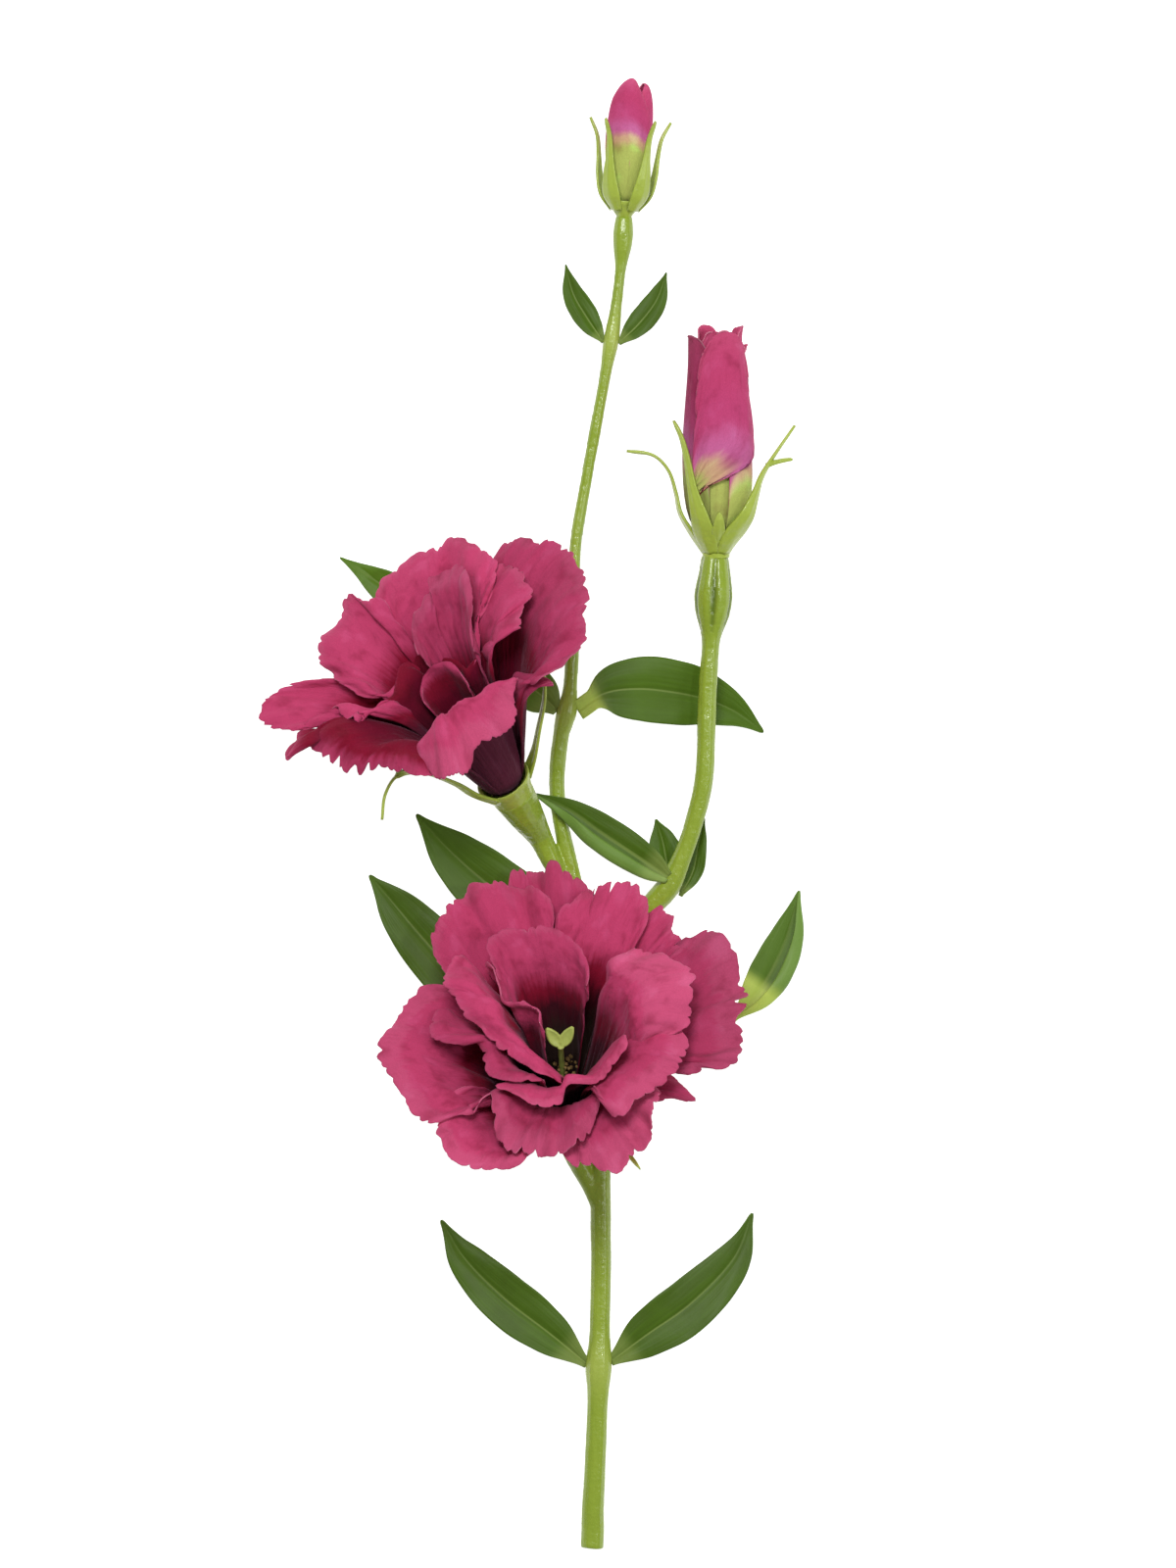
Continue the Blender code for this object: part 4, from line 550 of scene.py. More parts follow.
def drawn(values, t):
    """Smooth curve from the first value to the last, drawn toward those between, at t from 0 to 1."""
    last = len(values) - 1
    return sum(math.comb(last, k) * t**k * (1 - t) ** (last - k) * value for k, value in enumerate(values))


def unit(vectors):
    return vectors / (np.linalg.norm(vectors, axis=-1, keepdims=True) + 1e-9)


def steps(points):
    """Distance from each point of a line to the next."""
    return np.linalg.norm(np.diff(points, axis=0), axis=1)


def path_at(rows, position, near=0.01):
    """Points of the curve through a path's rows, and its directions there."""
    return through(rows, position), unit(through(rows, position + near) - through(rows, position - near))


def swell(value, start, power):
    """0 up to start, then growing to 1 at 1."""
    return np.clip((value - start) / (1 - start), 0, 1) ** power


def ripple(rng, shortest, longest, waves=6):
    """Smooth random function of one length (mm), about -1 to 1, with waves of those lengths."""
    lengths = rng.uniform(shortest, longest, waves)
    phases = rng.uniform(0, 2 * math.pi, waves)

    def at(x):
        return sum(np.sin(2 * math.pi * x / size + phase)
                   for size, phase in zip(lengths, phases)) / math.sqrt(waves)

    return at


def dents(rng, shortest, longest, waves=7):
    """Smooth random function of two lengths (mm), about -1 to 1."""
    lengths = rng.uniform(shortest, longest, waves)
    turns = rng.uniform(0, 2 * math.pi, waves)
    phases = rng.uniform(0, 2 * math.pi, waves)

    def at(x, y):
        return sum(np.sin(2 * math.pi * (x * math.cos(turn) + y * math.sin(turn)) / size + phase)
                   for size, turn, phase in zip(lengths, turns, phases)) / math.sqrt(waves)

    return at


def teeth(rng, width, x):
    """Row of points of that width (mm) along a length, from 0 between them to 1."""
    return 1 - np.abs(np.sin(math.pi * x / width + rng.uniform(0, 3)))


def placed(name, data):
    """New object in the scene."""
    made = bpy.data.objects.new(name, data)
    bpy.context.scene.collection.objects.link(made)
    return made


def mesh_object(name, bm):
    """New object from an edit mesh, which is freed."""
    mesh = bpy.data.meshes.new(name)
    bm.to_mesh(mesh)
    bm.free()
    return placed(name, mesh)


def stored_points(made):
    points = np.empty(len(made.data.vertices) * 3)
    made.data.vertices.foreach_get("co", points)
    return points.reshape(-1, 3)


def grid_object(name, across, along):
    """Grid mesh, with its coordinates from -1 to 1 across and 0 to 1 along."""
    bm = bmesh.new()
    bmesh.ops.create_grid(bm, x_segments=across, y_segments=along, size=1.0)
    made = mesh_object(name, bm)
    points = stored_points(made)
    return made, points[:, 0], (points[:, 1] + 1) / 2


def set_points(made, points, place=None):
    """Places a mesh's vertices, given in millimetres of the plan or along a bloom's axes."""
    if place:
        origin, axes = place
        points = points @ axes + origin
    made.data.vertices.foreach_set("co", ((points - ORIGIN) * MM).astype(np.float32).ravel())
    made.data.update()


def set_vector(made, name, *columns):
    """Three numbers for each vertex, each a column or the same for all."""
    attribute = made.data.attributes.new(name, "FLOAT_VECTOR", "POINT")
    values = np.stack([np.broadcast_to(column, len(made.data.vertices)) for column in columns], -1)
    attribute.data.foreach_set("vector", values.astype(np.float32).ravel())


def thicken(made, thickness):
    """Even thickness, with the second material on the other face and the third on the rim."""
    solid = made.modifiers.new("Thickness", "SOLIDIFY")
    solid.thickness = thickness * MM
    solid.offset = 0.0
    solid.material_offset = 1
    solid.material_offset_rim = 2
    solid.use_even_offset = False


def finish_piece(made, materials, slot, *nodes):
    for material in materials:
        made.data.materials.append(material)
    made.data.shade_smooth()
    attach(made, BODY)
    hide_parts(*nodes)


def ribs_under(rim, place):
    """A rim's rows on the sheet, as rows of angle about the throat, radius and height."""
    origin, axes = place
    ribs = []
    for across, down, height in rim:
        low = seen(across, down, 0.0)
        rise = seen(across, down, 1.0) - low
        point = low + rise * (height - (low - origin) @ axes[2]) / (rise @ axes[2])
        side, over, _ = axes @ (point - origin)
        ribs.append((math.degrees(math.atan2(over, side)), math.hypot(side, over), height))
    return ribs


def petal_surface(shape, u, t):
    """Points of a petal before its ruffles: u from -1 to 1 across it, t from 0 to 1 along it."""
    ribs, foot = shape["ribs"], shape["foot"]
    rib = through(ribs, (u + 1) / 2 * (len(ribs) - 1))
    angle, radius, height = rib[..., 0], rib[..., 1], rib[..., 2]
    belly = np.minimum(shape["belly"], radius * shape["lean"])
    fold = 1 - np.abs(u) ** 4 if "turn" in shape else 1.0
    crest = height + shape["arch"] * fold
    # A petal with a hem is gathered to its first side and opens between two places along it
    if "hem" in shape:
        start, stop, least = shape["hem"]
        opened = np.clip((t - start) / (stop - start), 0, 1)
        first = ribs[0, 0]
        angle = first + (angle - first) * (least + (1 - least) * opened**2 * (3 - 2 * opened))
    # A petal with a turn is folded: its crest stands inside its rim
    if "turn" in shape:
        low, high = FOLD_HEIGHTS
        bent = shape["turn"] * fold + FOLD_SIDE * (1 - fold)
        out = drawn((foot, belly, belly, bent * radius, radius), t)
        up = drawn((FOOT_HEIGHT, low * crest, high * crest, crest, height), t)
    else:
        shoulder = shape.get("shoulder", np.maximum(belly, foot + shape["flare"] * (radius - foot)))
        out = drawn((foot, belly, shoulder, radius), t)
        up = drawn((FOOT_HEIGHT, shape["neck"] * crest, crest, height), t)
    return np.stack([out * np.cos(angle), out * np.sin(angle), up], -1)


def rim_loss(shape, across, rng):
    """How much of the petal's length (mm) is missing at its scalloped, cut rim."""
    warp = across + SCALLOP_WANDER * ripple(rng, *SCALLOP_WAVES)(across)
    notch = teeth(rng, shape["lobe"], warp) ** SCALLOP_SHARPNESS
    depth = shape["scallop"] * np.clip(0.75 + 0.6 * ripple(rng, *DEPTH_WAVES)(across), 0.15, 2.0)
    small = teeth(rng, TOOTH_WIDTH * shape["lobe"], warp)
    drift = RIM_DRIFT * (1 + shape["uneven"] * ripple(rng, *RIM_WAVES)(across))
    loss = depth * notch + TOOTH_DEPTH * small + drift
    for place, width, cut in shape["cuts"]:
        loss = loss + cut * np.clip(1 - np.abs(across - place) / width, 0, 1) ** 0.7
    return loss - RIM_SPARE


def cloth_petal(name, place, shape, materials, slot, node, seed):
    """A petal of thin cloth: scalloped rim, frills, radial creases and soft dents."""
    rng = np.random.default_rng(seed)
    made, x, s = grid_object(name, shape["cells"], PETAL_ALONG)
    turns = shape["ribs"][:, 0]
    u = x * np.sign(turns[-1] - turns[0])
    v = 1 - (1 - s) ** RIM_CROWDING

    def arc(place_u, place_t):
        return petal_surface(shape, place_u, place_t)

    # Lengths on the cloth: half its width at each height, and its length from foot to rim
    ladder = np.linspace(0, 1, 24)
    fan = np.linspace(-1, 1, 32)
    length = steps(arc(np.zeros_like(ladder), ladder)).sum()
    widths = [steps(arc(fan, np.full_like(fan, t))).sum() / 2 for t in ladder]
    across = u * widths[-1]

    # Rim and sides
    taper = 1 - shape["tip"] * np.abs(u) ** 9
    t = v * taper - rim_loss(shape, across, rng) / length * v**6
    fray = ripple(rng, *FRAY_WAVES)(v) * SIDE_FRAY * swell(v, 0.45, 1.0) / widths[-1]
    drawn_in = SIDE_LOSS / widths[-1] * swell(v, 0.5, 1.0) * (0.5 + 0.5 * np.sin(v * 31 + seed))
    u = np.clip(u * (1 - drawn_in) + fray * np.abs(u) ** 6, -1, 1)

    # Waves of the cloth, out of its surface
    step = 1e-3
    points = arc(u, t)
    over = arc(np.clip(u + step, -1, 1), t) - arc(np.clip(u - step, -1, 1), t)
    normal = unit(np.cross(over, arc(u, t + step) - arc(u, t - step)))
    bend = shape["ruffle"] * swell(v, 0.35, 2) * np.sin(math.pi * shape["waves"] * u)
    width_here = np.interp(t, ladder, widths)
    crease_line = across + CREASE_BEND * ripple(rng, *BEND_WAVES)(v * length)
    bend += shape["frill"] * swell(v, 0.62, 1.8) * ripple(rng, *FRILL_WAVES)(crease_line)
    creased = np.clip(v / 0.4, 0, 1) * (1 - 0.6 * v)
    bend += shape["crease"] * creased * ripple(rng, *CREASE_WAVES)(crease_line)
    bend += shape["dent"] * swell(v, 0.15, 1.0) * dents(rng, *DENT_WAVES)(u * width_here, v * length)
    set_points(made, points + normal * bend[:, None], place)
    # Place from foot to rim, moved by shade, for the throat's dark colours, which are partly painted shade;
    # the petal's tone darkens it, partly as painted shade
    set_vector(made, "cloth", across, v * length, v - shape["shade"])
    set_vector(made, "petal", shape["tone"], rng.uniform(0, 1), 0.0)
    thicken(made, PETAL_THICKNESS)
    finish_piece(made, materials, slot, node)


def bloom(node, place, petals, form, materials, slot, seed):
    """All petals of a bloom; their feet step in by different amounts, so that none lies in another."""
    for number, row in enumerate(petals):
        shape = {**PETAL_FORM, "belly": BELLY_RADIUS[row["layer"]], **form, **row}
        ribs = np.array(ribs_under(shape["rim"], place) if "rim" in shape else shape["ribs"], float)
        ribs[:, 0] = np.unwrap(np.radians(ribs[:, 0]))
        shape["ribs"] = ribs
        shape["foot"] = FOOT_RADIUS[shape["layer"]] * shape["slim"] - FOOT_STEP * (5 * number % 11)
        cloth_petal(f"{node}_petal_{number + 1:02d}", place, shape, materials, slot, node, seed + number)


def rounded(outline, places):
    """Half widths of an outline at places along it, with its corners rounded off."""
    ladder = np.linspace(0, 1, 60)
    outline = np.array(outline)
    fine = np.interp(ladder, outline[:, 0], outline[:, 1])
    soft = np.convolve(np.pad(fine, 3, mode="edge"), np.ones(7) / 7, mode="valid")
    soft[-1] = outline[-1, 1]
    return np.interp(places, ladder, soft)


def leaf(node, midrib, half_width, stalk, materials, seed, section=FLAT_SECTION, outline=LEAF_OUTLINE,
         tone=0.0):
    """Pointed blade: folded cross-section, sunk midrib, fine veins and a slightly waved edge."""
    rng = np.random.default_rng(seed)
    path = np.array([seen(*point) for point in midrib])
    path[0] -= unit(path[1] - path[0]) * LEAF_TUCK
    rows, rib_place = section
    made, u, v = grid_object(node + "_blade", LEAF_ACROSS, LEAF_ALONG)
    middle, ahead = path_at(path, v * (len(path) - 1))
    across = unit(np.cross(ahead, UP))
    lift = np.cross(across, ahead)
    half = half_width * rounded(outline, (v - stalk) / (1 - stalk))
    profile = through(rows, (u + 1) / 2 * (len(rows) - 1))
    from_rib = u - rib_place
    rib_width = RIB_WIDTH / np.maximum(half, 0.6)
    groove = -RIB_DEPTH * np.exp(-((from_rib / rib_width) ** 2)) * np.clip((1 - v) * 5, 0, 1)
    veins = VEIN_DEPTH * np.cos(math.pi * LEAF_VEINS * from_rib) * np.clip((1 - v) * 4, 0, 1)
    run = v * np.linalg.norm(path[-1] - path[0]) + WAVE_LEAD * u
    waves = LEAF_WAVE * np.abs(from_rib) ** 2 * ripple(rng, *LEAF_WAVES)(run)
    rise = half * profile[:, 1] + groove + veins + waves * np.minimum(half / 3, 1)
    points = middle + across * (half * profile[:, 0])[:, None] + lift * rise[:, None]
    points[:, 2] = np.maximum(points[:, 2], LEAF_THICKNESS / 2)
    set_points(made, points)
    bare = np.clip((STALK_END * stalk - v) / STALK_FADE, 0, 1)
    set_vector(made, "blade", from_rib, v, half)
    set_vector(made, "tone", np.clip(tone * (0.4 + 0.9 * v), 0, 1), bare, 0.0)
    thicken(made, LEAF_THICKNESS)
    finish_piece(made, materials, "leaf", node)


def sepal(name, place, rows, half_widths, materials, node):
    """Narrow keeled blade that rises outside a bloom, its face turned to the bloom's axis."""
    turns = np.radians([row[0] for row in rows])
    radii = np.array([row[1] for row in rows])
    local = np.stack([radii * np.cos(turns), radii * np.sin(turns), [row[2] for row in rows]], -1)
    made, u, v = grid_object(name, SEPAL_ACROSS, SEPAL_ALONG)
    middle, ahead = path_at(local, v * (len(rows) - 1))
    across = unit(np.cross(ahead, unit(middle * (1.0, 1.0, 0.0))))
    lift = np.cross(across, ahead)
    half = through(np.array(half_widths)[:, None], v * (len(half_widths) - 1))[..., 0]
    half = half * np.clip((1 - v) / SEPAL_TIP, 0.15, 1) ** 0.6
    bow = (half * u) ** 2 / (2 * np.maximum(np.linalg.norm(middle[:, :2], axis=-1), 3.0))
    keel = SEPAL_KEEL * np.exp(-((u / 0.25) ** 2)) * np.minimum(half, 1.0)
    points = middle + across * (half * u)[:, None] + lift * (keel - bow)[:, None]
    set_points(made, points, place)
    set_vector(made, "blade", u, v, half)
    thicken(made, SEPAL_THICKNESS)
    finish_piece(made, materials, "calyx", node)


def cup(name, place, profile, materials, node):
    """Turned cup at the foot of a bloom, with shallow furrows between its sepals."""
    made, x, s = grid_object(name, CUP_AROUND, CUP_ALONG)
    turn = math.pi * x
    height, radius = through(profile, s * (len(profile) - 1)).T
    furrow = CUP_FURROW * np.abs(np.sin(CUP_LOBES * turn / 2)) ** 0.5 - 0.2
    radius = radius + furrow * np.sin(math.pi * s)
    set_points(made, np.stack([radius * np.cos(turn), radius * np.sin(turn), height], -1), place)
    weld = made.modifiers.new("Seam", "WELD")
    weld.merge_threshold = SEAM * MM
    set_vector(made, "blade", x, s, radius)
    finish_piece(made, materials, "calyx", node)


def calyx(node, place, profile, sepals):
    """Cup and sepals; each sepal is its rows and its half widths."""
    cup(node + "_cup", place, profile, looks("calyx_plastic"), node)
    for number, (rows, half_widths) in enumerate(sepals):
        sepal(f"{node}_sepal_{number + 1}", place, rows, half_widths, looks("calyx_plastic"), node)


def ring_of_sepals(angles, profile, half_widths):
    """Alike sepals round a bloom."""
    return [([(angle, radius, height) for radius, height in profile], half_widths) for angle in angles]


def along_axis(place, rows):
    """Path rows of x, y, z and radius along a bloom's axis, from rows of height and radius."""
    origin, axes = place
    return [(*(origin + axes[2] * height), radius) for height, radius in rows]


def tube_path(rows, step):
    """Path rows with more between them, no further apart than about a step."""
    rows = np.asarray(rows, float)
    places = [0.0]
    for index, span in enumerate(steps(rows[:, :3])):
        count = max(2, round(span / step))
        places += [index + (k + 1) / count for k in range(count)]
    return through(rows, np.array(places))


def tube(name, path):
    """Round tube along path rows of x, y, z and radius, as a mesh with closed ends."""
    curve = bpy.data.curves.new(name, "CURVE")
    curve.dimensions = "3D"
    curve.bevel_depth = MM
    curve.bevel_resolution = 6
    curve.use_fill_caps = True
    spline = curve.splines.new("POLY")
    spline.points.add(len(path) - 1)
    for point, (x, y, z, radius) in zip(spline.points, path):
        point.co = (*((np.array([x, y, z]) - ORIGIN) * MM), 1.0)
        point.radius = radius
    wire = placed(name, curve)
    mesh = evaluated_mesh(wire)
    bpy.data.objects.remove(wire)
    return mesh


def evaluated_mesh(made):
    bpy.context.view_layer.update()
    graph = bpy.context.evaluated_depsgraph_get()
    return bpy.data.meshes.new_from_object(made.evaluated_get(graph), depsgraph=graph)


def joined_skin(name, meshes, voxel, smoothing):
    """One smooth skin round overlapping closed meshes."""
    bm = bmesh.new()
    for mesh in meshes:
        bm.from_mesh(mesh)
        bpy.data.meshes.remove(mesh)
    bmesh.ops.remove_doubles(bm, verts=bm.verts[:], dist=1e-6)
    made = mesh_object(name, bm)
    rough = made.data
    remesh = made.modifiers.new("Skin", "REMESH")
    remesh.mode = "VOXEL"
    remesh.voxel_size = voxel * MM
    smooth = made.modifiers.new("Smooth", "SMOOTH")
    smooth.factor = 0.5
    smooth.iterations = smoothing
    skin = evaluated_mesh(made)
    made.modifiers.clear()
    made.data = skin
    bpy.data.meshes.remove(rough)
    return made


def stem_routes(left, lower):
    """Path rows of the main stem, the side stem, and both stalks with their funnels."""
    plans = [[(*seen(across, down, height), radius) for across, down, height, radius in rows]
             for rows in (MAIN_STEM, SIDE_STEM, LEFT_STALK, LOWER_STALK)]
    plans[2] += along_axis(left, LEFT_FUNNEL)
    plans[3] += along_axis(lower, LOWER_FUNNEL)
    return plans


def nearest_samples(points, samples, at_once=4000):
    """For each point, the number of the path sample whose ball it is nearest to."""
    nearest = np.empty(len(points), int)
    for start in range(0, len(points), at_once):
        part = points[start:start + at_once]
        gap = np.linalg.norm(part[:, None] - samples[:, :3], axis=-1) - samples[:, 3]
        nearest[start:start + at_once] = gap.argmin(1)
    return nearest


def near_joints(points, routes):
    """1 at the thick joints of the stems, falling to 0 away from them."""
    joint = np.zeros(len(points))
    for rows in routes:
        for before, (*middle, radius), after in zip(rows, rows[1:], rows[2:]):
            if radius > JOINT_SWELL * max(before[3], after[3]):
                gap = np.linalg.norm(points - middle, axis=-1)
                joint = np.maximum(joint, np.exp(-((gap / JOINT_REACH) ** 2)))
    return joint


def stems(left, lower, materials):
    """Stem, stalks and funnels in one skin, with fine ridges along them and a ribbed swelling."""
    routes = stem_routes(left, lower)
    paths = [tube_path(rows, STEM_STEP) for rows in routes]
    tubes = [tube(f"route_{number}", path) for number, path in enumerate(paths)]
    made = joined_skin("stem_skin", tubes, STEM_VOXEL, STEM_SMOOTHING)
    points = stored_points(made) / MM + ORIGIN
    samples = np.vstack(paths)
    nearest = nearest_samples(points, samples)
    route = np.repeat(range(len(paths)), [len(path) for path in paths])[nearest]
    along = np.concatenate([np.r_[0, np.cumsum(steps(path[:, :3]))] for path in paths])[nearest]
    ahead = np.vstack([unit(np.gradient(path[:, :3], axis=0)) for path in paths])[nearest]
    radius = samples[nearest, 3]
    away = points - samples[nearest, :3]
    outward = unit(away - ahead * (away * ahead).sum(-1, keepdims=True))
    side = unit(np.cross(ahead, UP))
    turn = np.arctan2((outward * np.cross(side, ahead)).sum(-1), (outward * side).sum(-1))
    rng = np.random.default_rng(5)
    ridges = STEM_RIDGE * np.sin(STEM_RIDGES * turn + 0.5 * ripple(rng, *RIDGE_WAVES)(along))
    ridges = ridges + STEM_LINE * np.sin(STEM_LINES * turn + along / LINE_TWIST)
    swelling = (route == 1) * np.clip((radius - SIDE_RADIUS) / (SWELLING_RADIUS - SIDE_RADIUS), 0, 1)
    ribs = -RIB_FURROW * swelling * np.abs(np.cos(SWELLING_RIBS / 2 * (turn - math.pi / 2))) ** 10
    lumps = STEM_LUMP * dents(rng, *LUMP_WAVES)(along, turn * radius)
    end = np.clip((points[:, 1] - points[:, 1].min()) / CUT_END, 0, 1)
    moved = points + outward * ((ridges + ribs + lumps) * end)[:, None]
    moved[:, 2] = np.maximum(moved[:, 2], 0.0)
    set_points(made, moved)
    # Furrow depth, for painted shade in the furrows, and nearness to the joints
    set_vector(made, "stalk", ribs, near_joints(points, routes), 0.0)
    finish_piece(made, materials, "stem", "stem")


def stigma_lobe(name, place, way, materials):
    """One of the two cupped lobes on the style; way is -1 or 1, the side that it leans to."""
    made, u, v = grid_object(name, LOBE_ACROSS, LOBE_ALONG)
    reach = unit(np.array([way * LOBE_LEAN[0], *LOBE_LEAN[1:]]))
    across = unit(np.cross(LOBE_FACE, reach))
    face = np.cross(reach, across)
    half = LOBE_HALF_WIDTH * np.sin(math.pi * np.clip(v, 0.02, 0.985) ** 0.8) ** 0.75
    hollow = 0.35 * u**2 * half - LOBE_HOLLOW * np.sin(math.pi * v)
    start = np.array([0, 0, PISTIL_TOP - LOBE_SINK])
    points = start + reach * (LOBE_LENGTH * v)[:, None]
    set_points(made, points + across * (half * u)[:, None] + face * hollow[:, None], place)
    set_vector(made, "blade", u, v, half)
    thicken(made, LOBE_THICKNESS)
    soft = made.modifiers.new("Round", "SUBSURF")
    soft.levels = 1
    soft.render_levels = 1
    finish_piece(made, materials, "pistil", "pistil_lower")


def anthers(place, materials):
    """Brown grains of pollen round the style, low in the throat."""
    origin, axes = place
    rng = np.random.default_rng(11)
    bm = bmesh.new()
    for number in range(ANTHER_GRAINS):
        turn = rng.uniform(0, 2 * math.pi)
        reach = rng.uniform(*ANTHER_REACH)
        height = rng.uniform(*ANTHER_HEIGHT)
        middle = origin + np.array([reach * math.cos(turn), reach * math.sin(turn), height]) @ axes
        made = bmesh.ops.create_icosphere(bm, subdivisions=2, radius=rng.uniform(*ANTHER_RADIUS))
        for vert in made["verts"]:
            grain = 1 + 0.25 * math.sin(9 * vert.co.x + number) * math.sin(11 * vert.co.y)
            vert.co = Vector((middle - ORIGIN) + np.array(vert.co) * grain) * MM
    finish_piece(mesh_object("pistil_anthers", bm), materials, "pistil", "pistil_lower")


def pistil(place, materials, anther_materials):
    """Ovary and style, two stigma lobes and the anthers."""
    path = tube_path(along_axis(place, PISTIL_PROFILE), PISTIL_STEP)
    style = joined_skin("pistil_style", [tube("style", path)], PISTIL_VOXEL, PISTIL_SMOOTHING)
    set_vector(style, "blade", 0.0, 0.0, 0.0)
    finish_piece(style, materials, "pistil", "pistil_lower")
    for number, way in enumerate((-1, 1)):
        stigma_lobe(f"pistil_lobe_{number + 1}", place, way, materials)
    anthers(place, anther_materials)


class Nodes:
    """Short hand for building a material's nodes."""

    def __init__(self, name):
        self.material = bpy.data.materials.new(name)
        self.material.use_nodes = True
        self.tree = self.material.node_tree
        self.shader = self.tree.nodes["Principled BSDF"]

    def put(self, node, socket, value):
        """Links an input socket to an output, or sets its value."""
        target = node.inputs[socket]
        if isinstance(value, bpy.types.NodeSocket):
            self.tree.links.new(value, target)
        elif target.type == "RGBA":
            target.default_value = (*value, 1.0)
        else:
            target.default_value = value

    def add(self, kind, sockets, **settings):
        """New node, with the inputs that sockets gives by name or number."""
        node = self.tree.nodes.new("ShaderNode" + kind)
        for name, value in settings.items():
            setattr(node, name, value)
        for socket, value in sockets.items():
            self.put(node, socket, value)
        return node

    def position(self):
        return self.add("TexCoord", {}).outputs["Object"]

    def parts(self, vector):
        return self.add("SeparateXYZ", {0: vector}).outputs

    def attribute(self, name):
        """The three numbers that set_vector gave each vertex."""
        return self.parts(self.add("Attribute", {}, attribute_name=name).outputs["Vector"])

    def vector(self, *values):
        return self.add("CombineXYZ", dict(enumerate(values))).outputs[0]

    def math(self, operation, *values, clamp=False):
        return self.add("Math", dict(enumerate(values)), operation=operation, use_clamp=clamp).outputs[0]

    def times(self, a, b):
        return self.math("MULTIPLY", a, b)

    def plus(self, a, b):
        return self.math("ADD", a, b)

    def noise(self, vector, scale, detail, roughness):
        sockets = {"Vector": vector, "Scale": scale, "Detail": detail, "Roughness": roughness}
        return self.add("TexNoise", sockets).outputs["Fac"]

    def ramp(self, value, stops, interpolation="EASE"):
        """Colour for a value, blended between stops of place and colour."""
        node = self.add("ValToRGB", {"Fac": value})
        node.color_ramp.interpolation = interpolation
        elements = node.color_ramp.elements
        while len(elements) < len(stops):
            elements.new(0.5)
        for element, (place, colour) in zip(elements, stops):
            element.position = place
            element.color = (*colour, 1.0)
        return node.outputs["Color"]

    def mask(self, value, *stops, interpolation="EASE"):
        """Grey for a value, blended between stops of place and grey."""
        return self.ramp(value, [(place, (grey,) * 3) for place, grey in stops], interpolation)

    def mix(self, amount, a, b, blend="MIX"):
        return self.add("Mix", {0: amount, 6: a, 7: b}, data_type="RGBA", blend_type=blend).outputs[2]

    def bump(self, height, distance, strength, normal=None):
        node = self.add("Bump", {"Height": height, "Distance": distance, "Strength": strength})
        if normal is not None:
            self.put(node, "Normal", normal)
        return node.outputs["Normal"]

    def finish(self, **values):
        """Sets the shader's inputs and gives the material."""
        for key, value in values.items():
            self.put(self.shader, key.replace("_", " "), value)
        return self.material


def cloth_material(name, streak, drift, *stops):
    """Dyed woven cloth: colour from foot to rim, dark at the foot partly as painted shade, soft blotches,
    faint streaks and fine weave.
    """
    nodes = Nodes(name)
    across, along, fraction = nodes.attribute("cloth")
    tone, chance, _ = nodes.attribute("petal")
    shifted = nodes.plus(across, nodes.times(chance, 37.0))
    lines = nodes.noise(nodes.vector(nodes.times(shifted, 1.1), nodes.times(along, 0.10), 0.0), 1.0, 3.0, 0.6)
    blotch = nodes.noise(nodes.vector(shifted, along, chance), 0.16, 3.0, 0.55)
    grain = nodes.noise(nodes.vector(shifted, along, 0.0), 3.4, 2.0, 0.7)
    wobble = nodes.times(nodes.math("SUBTRACT", lines, 0.5), streak)
    sway = nodes.times(nodes.math("SUBTRACT", blotch, 0.5), drift)
    # Dark ramp colours toward the foot are partly the dye and partly painted shade in the throat; each
    # petal's tone, lower on petals in shade, multiplies in as partly painted shade
    colour = nodes.ramp(nodes.plus(nodes.plus(fraction, wobble), sway), stops)
    for amount, tint in (
        (nodes.mask(blotch, (0.50, 0.0), (0.72, 0.9)), CLOTH_DARK),
        (nodes.mask(blotch, (0.30, 1.0), (0.46, 0.0)), CLOTH_PALE),
        (nodes.mask(lines, (0.52, 0.0), (0.78, 0.35)), CLOTH_DARK),
        (1.0, nodes.mask(grain, (0.25, 0.80), (0.75, 1.0), interpolation="LINEAR")),
        (1.0, nodes.vector(tone, tone, tone)),
    ):
        colour = nodes.mix(amount, colour, tint, "MULTIPLY")
    warp, weft = (nodes.math("SINE", nodes.times(run, 2 * math.pi / THREAD)) for run in (shifted, along))
    threads = nodes.plus(nodes.times(nodes.times(warp, weft), 0.25), grain)
    fine = nodes.bump(threads, 0.00010, 0.45)
    soft = nodes.bump(blotch, 0.0012, 0.5, nodes.bump(lines, 0.0004, 0.3, fine))
    return nodes.finish(Base_Color=colour, Normal=soft, Roughness=0.85, Specular_IOR_Level=0.12,
                        Sheen_Weight=0.10, Sheen_Roughness=0.4, Sheen_Tint=(1.0, 0.5, 0.7))


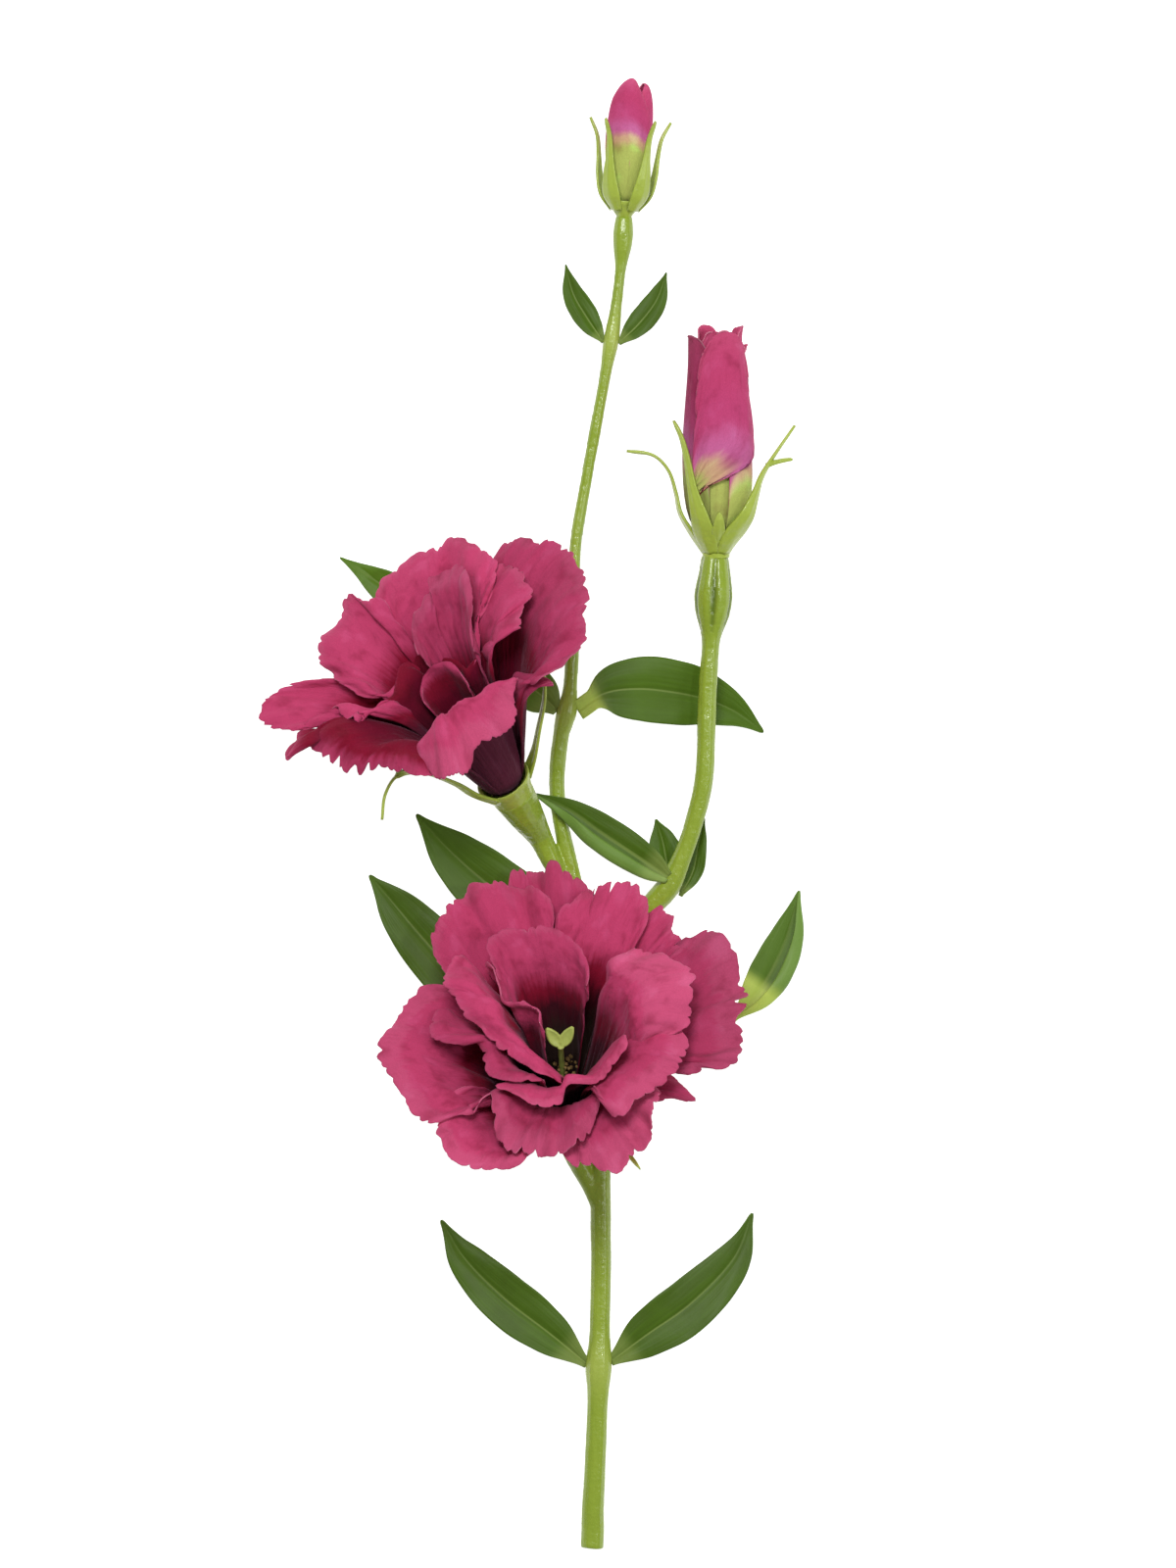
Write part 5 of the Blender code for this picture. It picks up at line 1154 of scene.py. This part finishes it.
def leaf_material(name, blade_colour, light_colour, rib_colour):
    """Satin moulded leaf: thin paler rib, faint veins, soft mottling and a lighter foot."""
    nodes = Nodes(name)
    side, along, half = nodes.attribute("blade")
    light, bare, _ = nodes.attribute("tone")
    width = nodes.times(nodes.math("ABSOLUTE", side), half)
    veins = nodes.noise(nodes.vector(nodes.times(side, 5.0), nodes.times(along, 1.3), 0.0), 1.0, 2.0, 0.5)
    mottle = nodes.noise(nodes.position(), 110.0, 3.0, 0.6)
    pores = nodes.noise(nodes.position(), 2200.0, 2.0, 0.6)
    fade = nodes.math("SUBTRACT", 1.0, nodes.math("POWER", along, 1.6), clamp=True)
    rib = nodes.times(nodes.mask(width, (0.0, 1.0), (0.10, 0.8), (0.32, 0.0)), fade)
    foot = nodes.mask(along, (0.0, 1.0), (0.10, 0.7), (0.2, 0.0))
    colour = blade_colour
    for amount, tint in (
        (nodes.times(mottle, 0.5), light_colour),
        (nodes.mask(veins, (0.5, 0.0), (0.8, 0.3)), light_colour),
        (light, light_colour),
        (nodes.times(rib, 0.75), rib_colour),
        (nodes.times(foot, 0.8), rib_colour),
        (bare, STALK_COLOUR),
    ):
        colour = nodes.mix(amount, colour, tint)
    bump = nodes.bump(veins, 0.0004, 0.4, nodes.bump(mottle, 0.0004, 0.3, nodes.bump(pores, 0.00005, 0.3)))
    return nodes.finish(Base_Color=colour, Normal=bump, Roughness=0.5, Specular_IOR_Level=0.22)


def plastic_material(name, roughness, colour_a, colour_b, pale):
    """Moulded plastic with lengthwise streaks and a broken gloss, paler at joints or toward tips, with
    painted shade in the swelling's furrows.
    """
    nodes = Nodes(name)
    x, y, z = nodes.parts(nodes.position())
    streaked = nodes.vector(nodes.times(x, 900.0), nodes.times(y, 60.0), nodes.times(z, 900.0))
    streaks = nodes.noise(streaked, 1.0, 3.0, 0.6)
    spots = nodes.noise(nodes.position(), 420.0, 3.0, 0.6)
    colour = nodes.mix(streaks, colour_a, colour_b)
    if name == "stem_plastic":
        groove, joint, _ = nodes.attribute("stalk")
        colour = nodes.mix(nodes.times(joint, 0.7), colour, pale)
        # Painted shade: the swelling's furrows darkened by their depth
        colour = nodes.mix(nodes.math("MULTIPLY", groove, -1.8, clamp=True), colour, FURROW_SHADE_COLOUR)
    else:
        _, along, _ = nodes.attribute("blade")
        colour = nodes.mix(nodes.times(along, 0.5), colour, pale)
    gloss = nodes.plus(roughness, nodes.times(spots, 0.10))
    bump = nodes.bump(streaks, 0.0002, 0.3, nodes.bump(spots, 0.0006, 0.5))
    return nodes.finish(Base_Color=colour, Normal=bump, Roughness=gloss, Specular_IOR_Level=0.35,
                        Coat_Weight=0.3, Coat_Roughness=0.07, Coat_IOR=1.35)


def floor_material():
    return Nodes("floor_paper").finish(Base_Color=(0.5, 0.5, 0.5), Roughness=0.9, Specular_IOR_Level=0.0,
                                       Emission_Color=(1.0, 1.0, 1.0), Emission_Strength=0.95)


def make_materials():
    """All materials by name."""
    made = {name: cloth_material(name, *look) for name, look in CLOTHS.items()}
    made.update({name: leaf_material(name, *colours) for name, colours in LEAF_COLOURS.items()})
    made.update({name: plastic_material(name, *look) for name, look in PLASTICS.items()})
    return made


def looks(*names):
    """Materials of a piece: its back, face and edge where it has three."""
    return [MATERIALS[name] for name in names]


def light(name, place, size, power):
    """Round light of a diameter, aimed at the middle of the spray."""
    data = bpy.data.lights.new(name, "AREA")
    data.shape = "DISK"
    data.size = size
    data.energy = power
    made = placed(name, data)
    made.location = place
    made.rotation_euler = (-Vector(place)).to_track_quat("-Z", "Y").to_euler()


def studio():
    """Wide pale floor and soft dome; large key light, small one for gloss, weak fill from the right."""
    bm = bmesh.new()
    bmesh.ops.create_grid(bm, x_segments=1, y_segments=1, size=FLOOR_SIZE)
    floor = mesh_object("floor", bm)
    floor.data.materials.append(floor_material())
    floor.location.z = -FLOOR_GAP
    world = bpy.data.worlds.new("studio")
    world.use_nodes = True
    dome = world.node_tree.nodes["Background"].inputs
    dome["Color"].default_value = (1.0, 1.0, 1.0, 1.0)
    dome["Strength"].default_value = DOME_STRENGTH
    bpy.context.scene.world = world
    for name, (place, size, power) in LIGHTS.items():
        light(name, place, size, power)


def camera():
    """Looks straight down from the eye's height, with the sheet filling the picture."""
    data = bpy.data.cameras.new("camera")
    data.sensor_width = SENSOR
    data.lens = SENSOR * EYE_HEIGHT / (2 * SHEET_MIDDLE[1] * SQUARE)
    made = placed("camera", data)
    made.location = Vector((-ORIGIN[0], -ORIGIN[1], EYE_HEIGHT)) * MM
    bpy.context.scene.camera = made


MATERIALS = make_materials()
LEFT = look_frame(LEFT_BASE, LEFT_LOOK)
LOWER = look_frame(LOWER_BASE, LOWER_LOOK)
BUD = look_frame(BUD_BASE, BUD_LOOK)
TOP = look_frame(TOP_BASE, TOP_LOOK)

stems(LEFT, LOWER, looks("stem_plastic"))
for number, (leaf_name, (midrib, half_width, stalk)) in enumerate(LEAVES.items()):
    leaf(leaf_name, midrib, half_width, stalk, looks("leaf_top", "leaf_under", "leaf_edge"),
         LEAF_SEED + number, **LEAF_LOOKS.get(leaf_name, {}))

calyx("calyx_left", LEFT, LEFT_CUP, [(LEFT_SEPALS[0], WIDE_SEPAL_HALF_WIDTHS)]
      + [(rows, SEPAL_HALF_WIDTHS) for rows in LEFT_SEPALS[1:]])
calyx("calyx_lower", LOWER, LOWER_CUP,
      ring_of_sepals(LOWER_SEPAL_ANGLES, LOWER_SEPAL_PROFILE, SEPAL_HALF_WIDTHS))
calyx("calyx_bud", BUD, BUD_CUP, [(rows, BUD_SEPAL_HALF_WIDTHS) for rows in BUD_SEPALS]
      + [(BUD_FORK, BUD_FORK_HALF_WIDTHS), (BUD_BRACT, BUD_BRACT_HALF_WIDTHS)])
calyx("calyx_top", TOP, TOP_CUP, ring_of_sepals(TOP_SEPAL_ANGLES, TOP_SEPAL_PROFILE, TOP_SEPAL_HALF_WIDTHS))

left_cloth = looks("petal_back", "left_face", "petal_edge")
lower_cloth = looks("petal_back", "petal_face", "petal_edge")
bud_cloth = looks("bud_back", "bud_face", "bud_edge")
bloom("corolla_left", LEFT, LEFT_PETALS, {}, left_cloth, "corolla", seed=100)
bloom("corolla_lower", LOWER, LOWER_PETALS, {}, lower_cloth, "corolla", seed=200)
bloom("bud_side", BUD, BUD_PETALS, BUD_FORM, bud_cloth, "bud", seed=300)
bloom("bud_top", TOP, TOP_PETALS, TOP_FORM, bud_cloth, "bud", seed=400)
pistil(LOWER, looks("pistil_plastic"), looks("anther_dust"))

studio()
camera()
bpy.context.scene.view_settings.view_transform = "Standard"
bpy.context.scene.view_settings.look = "None"
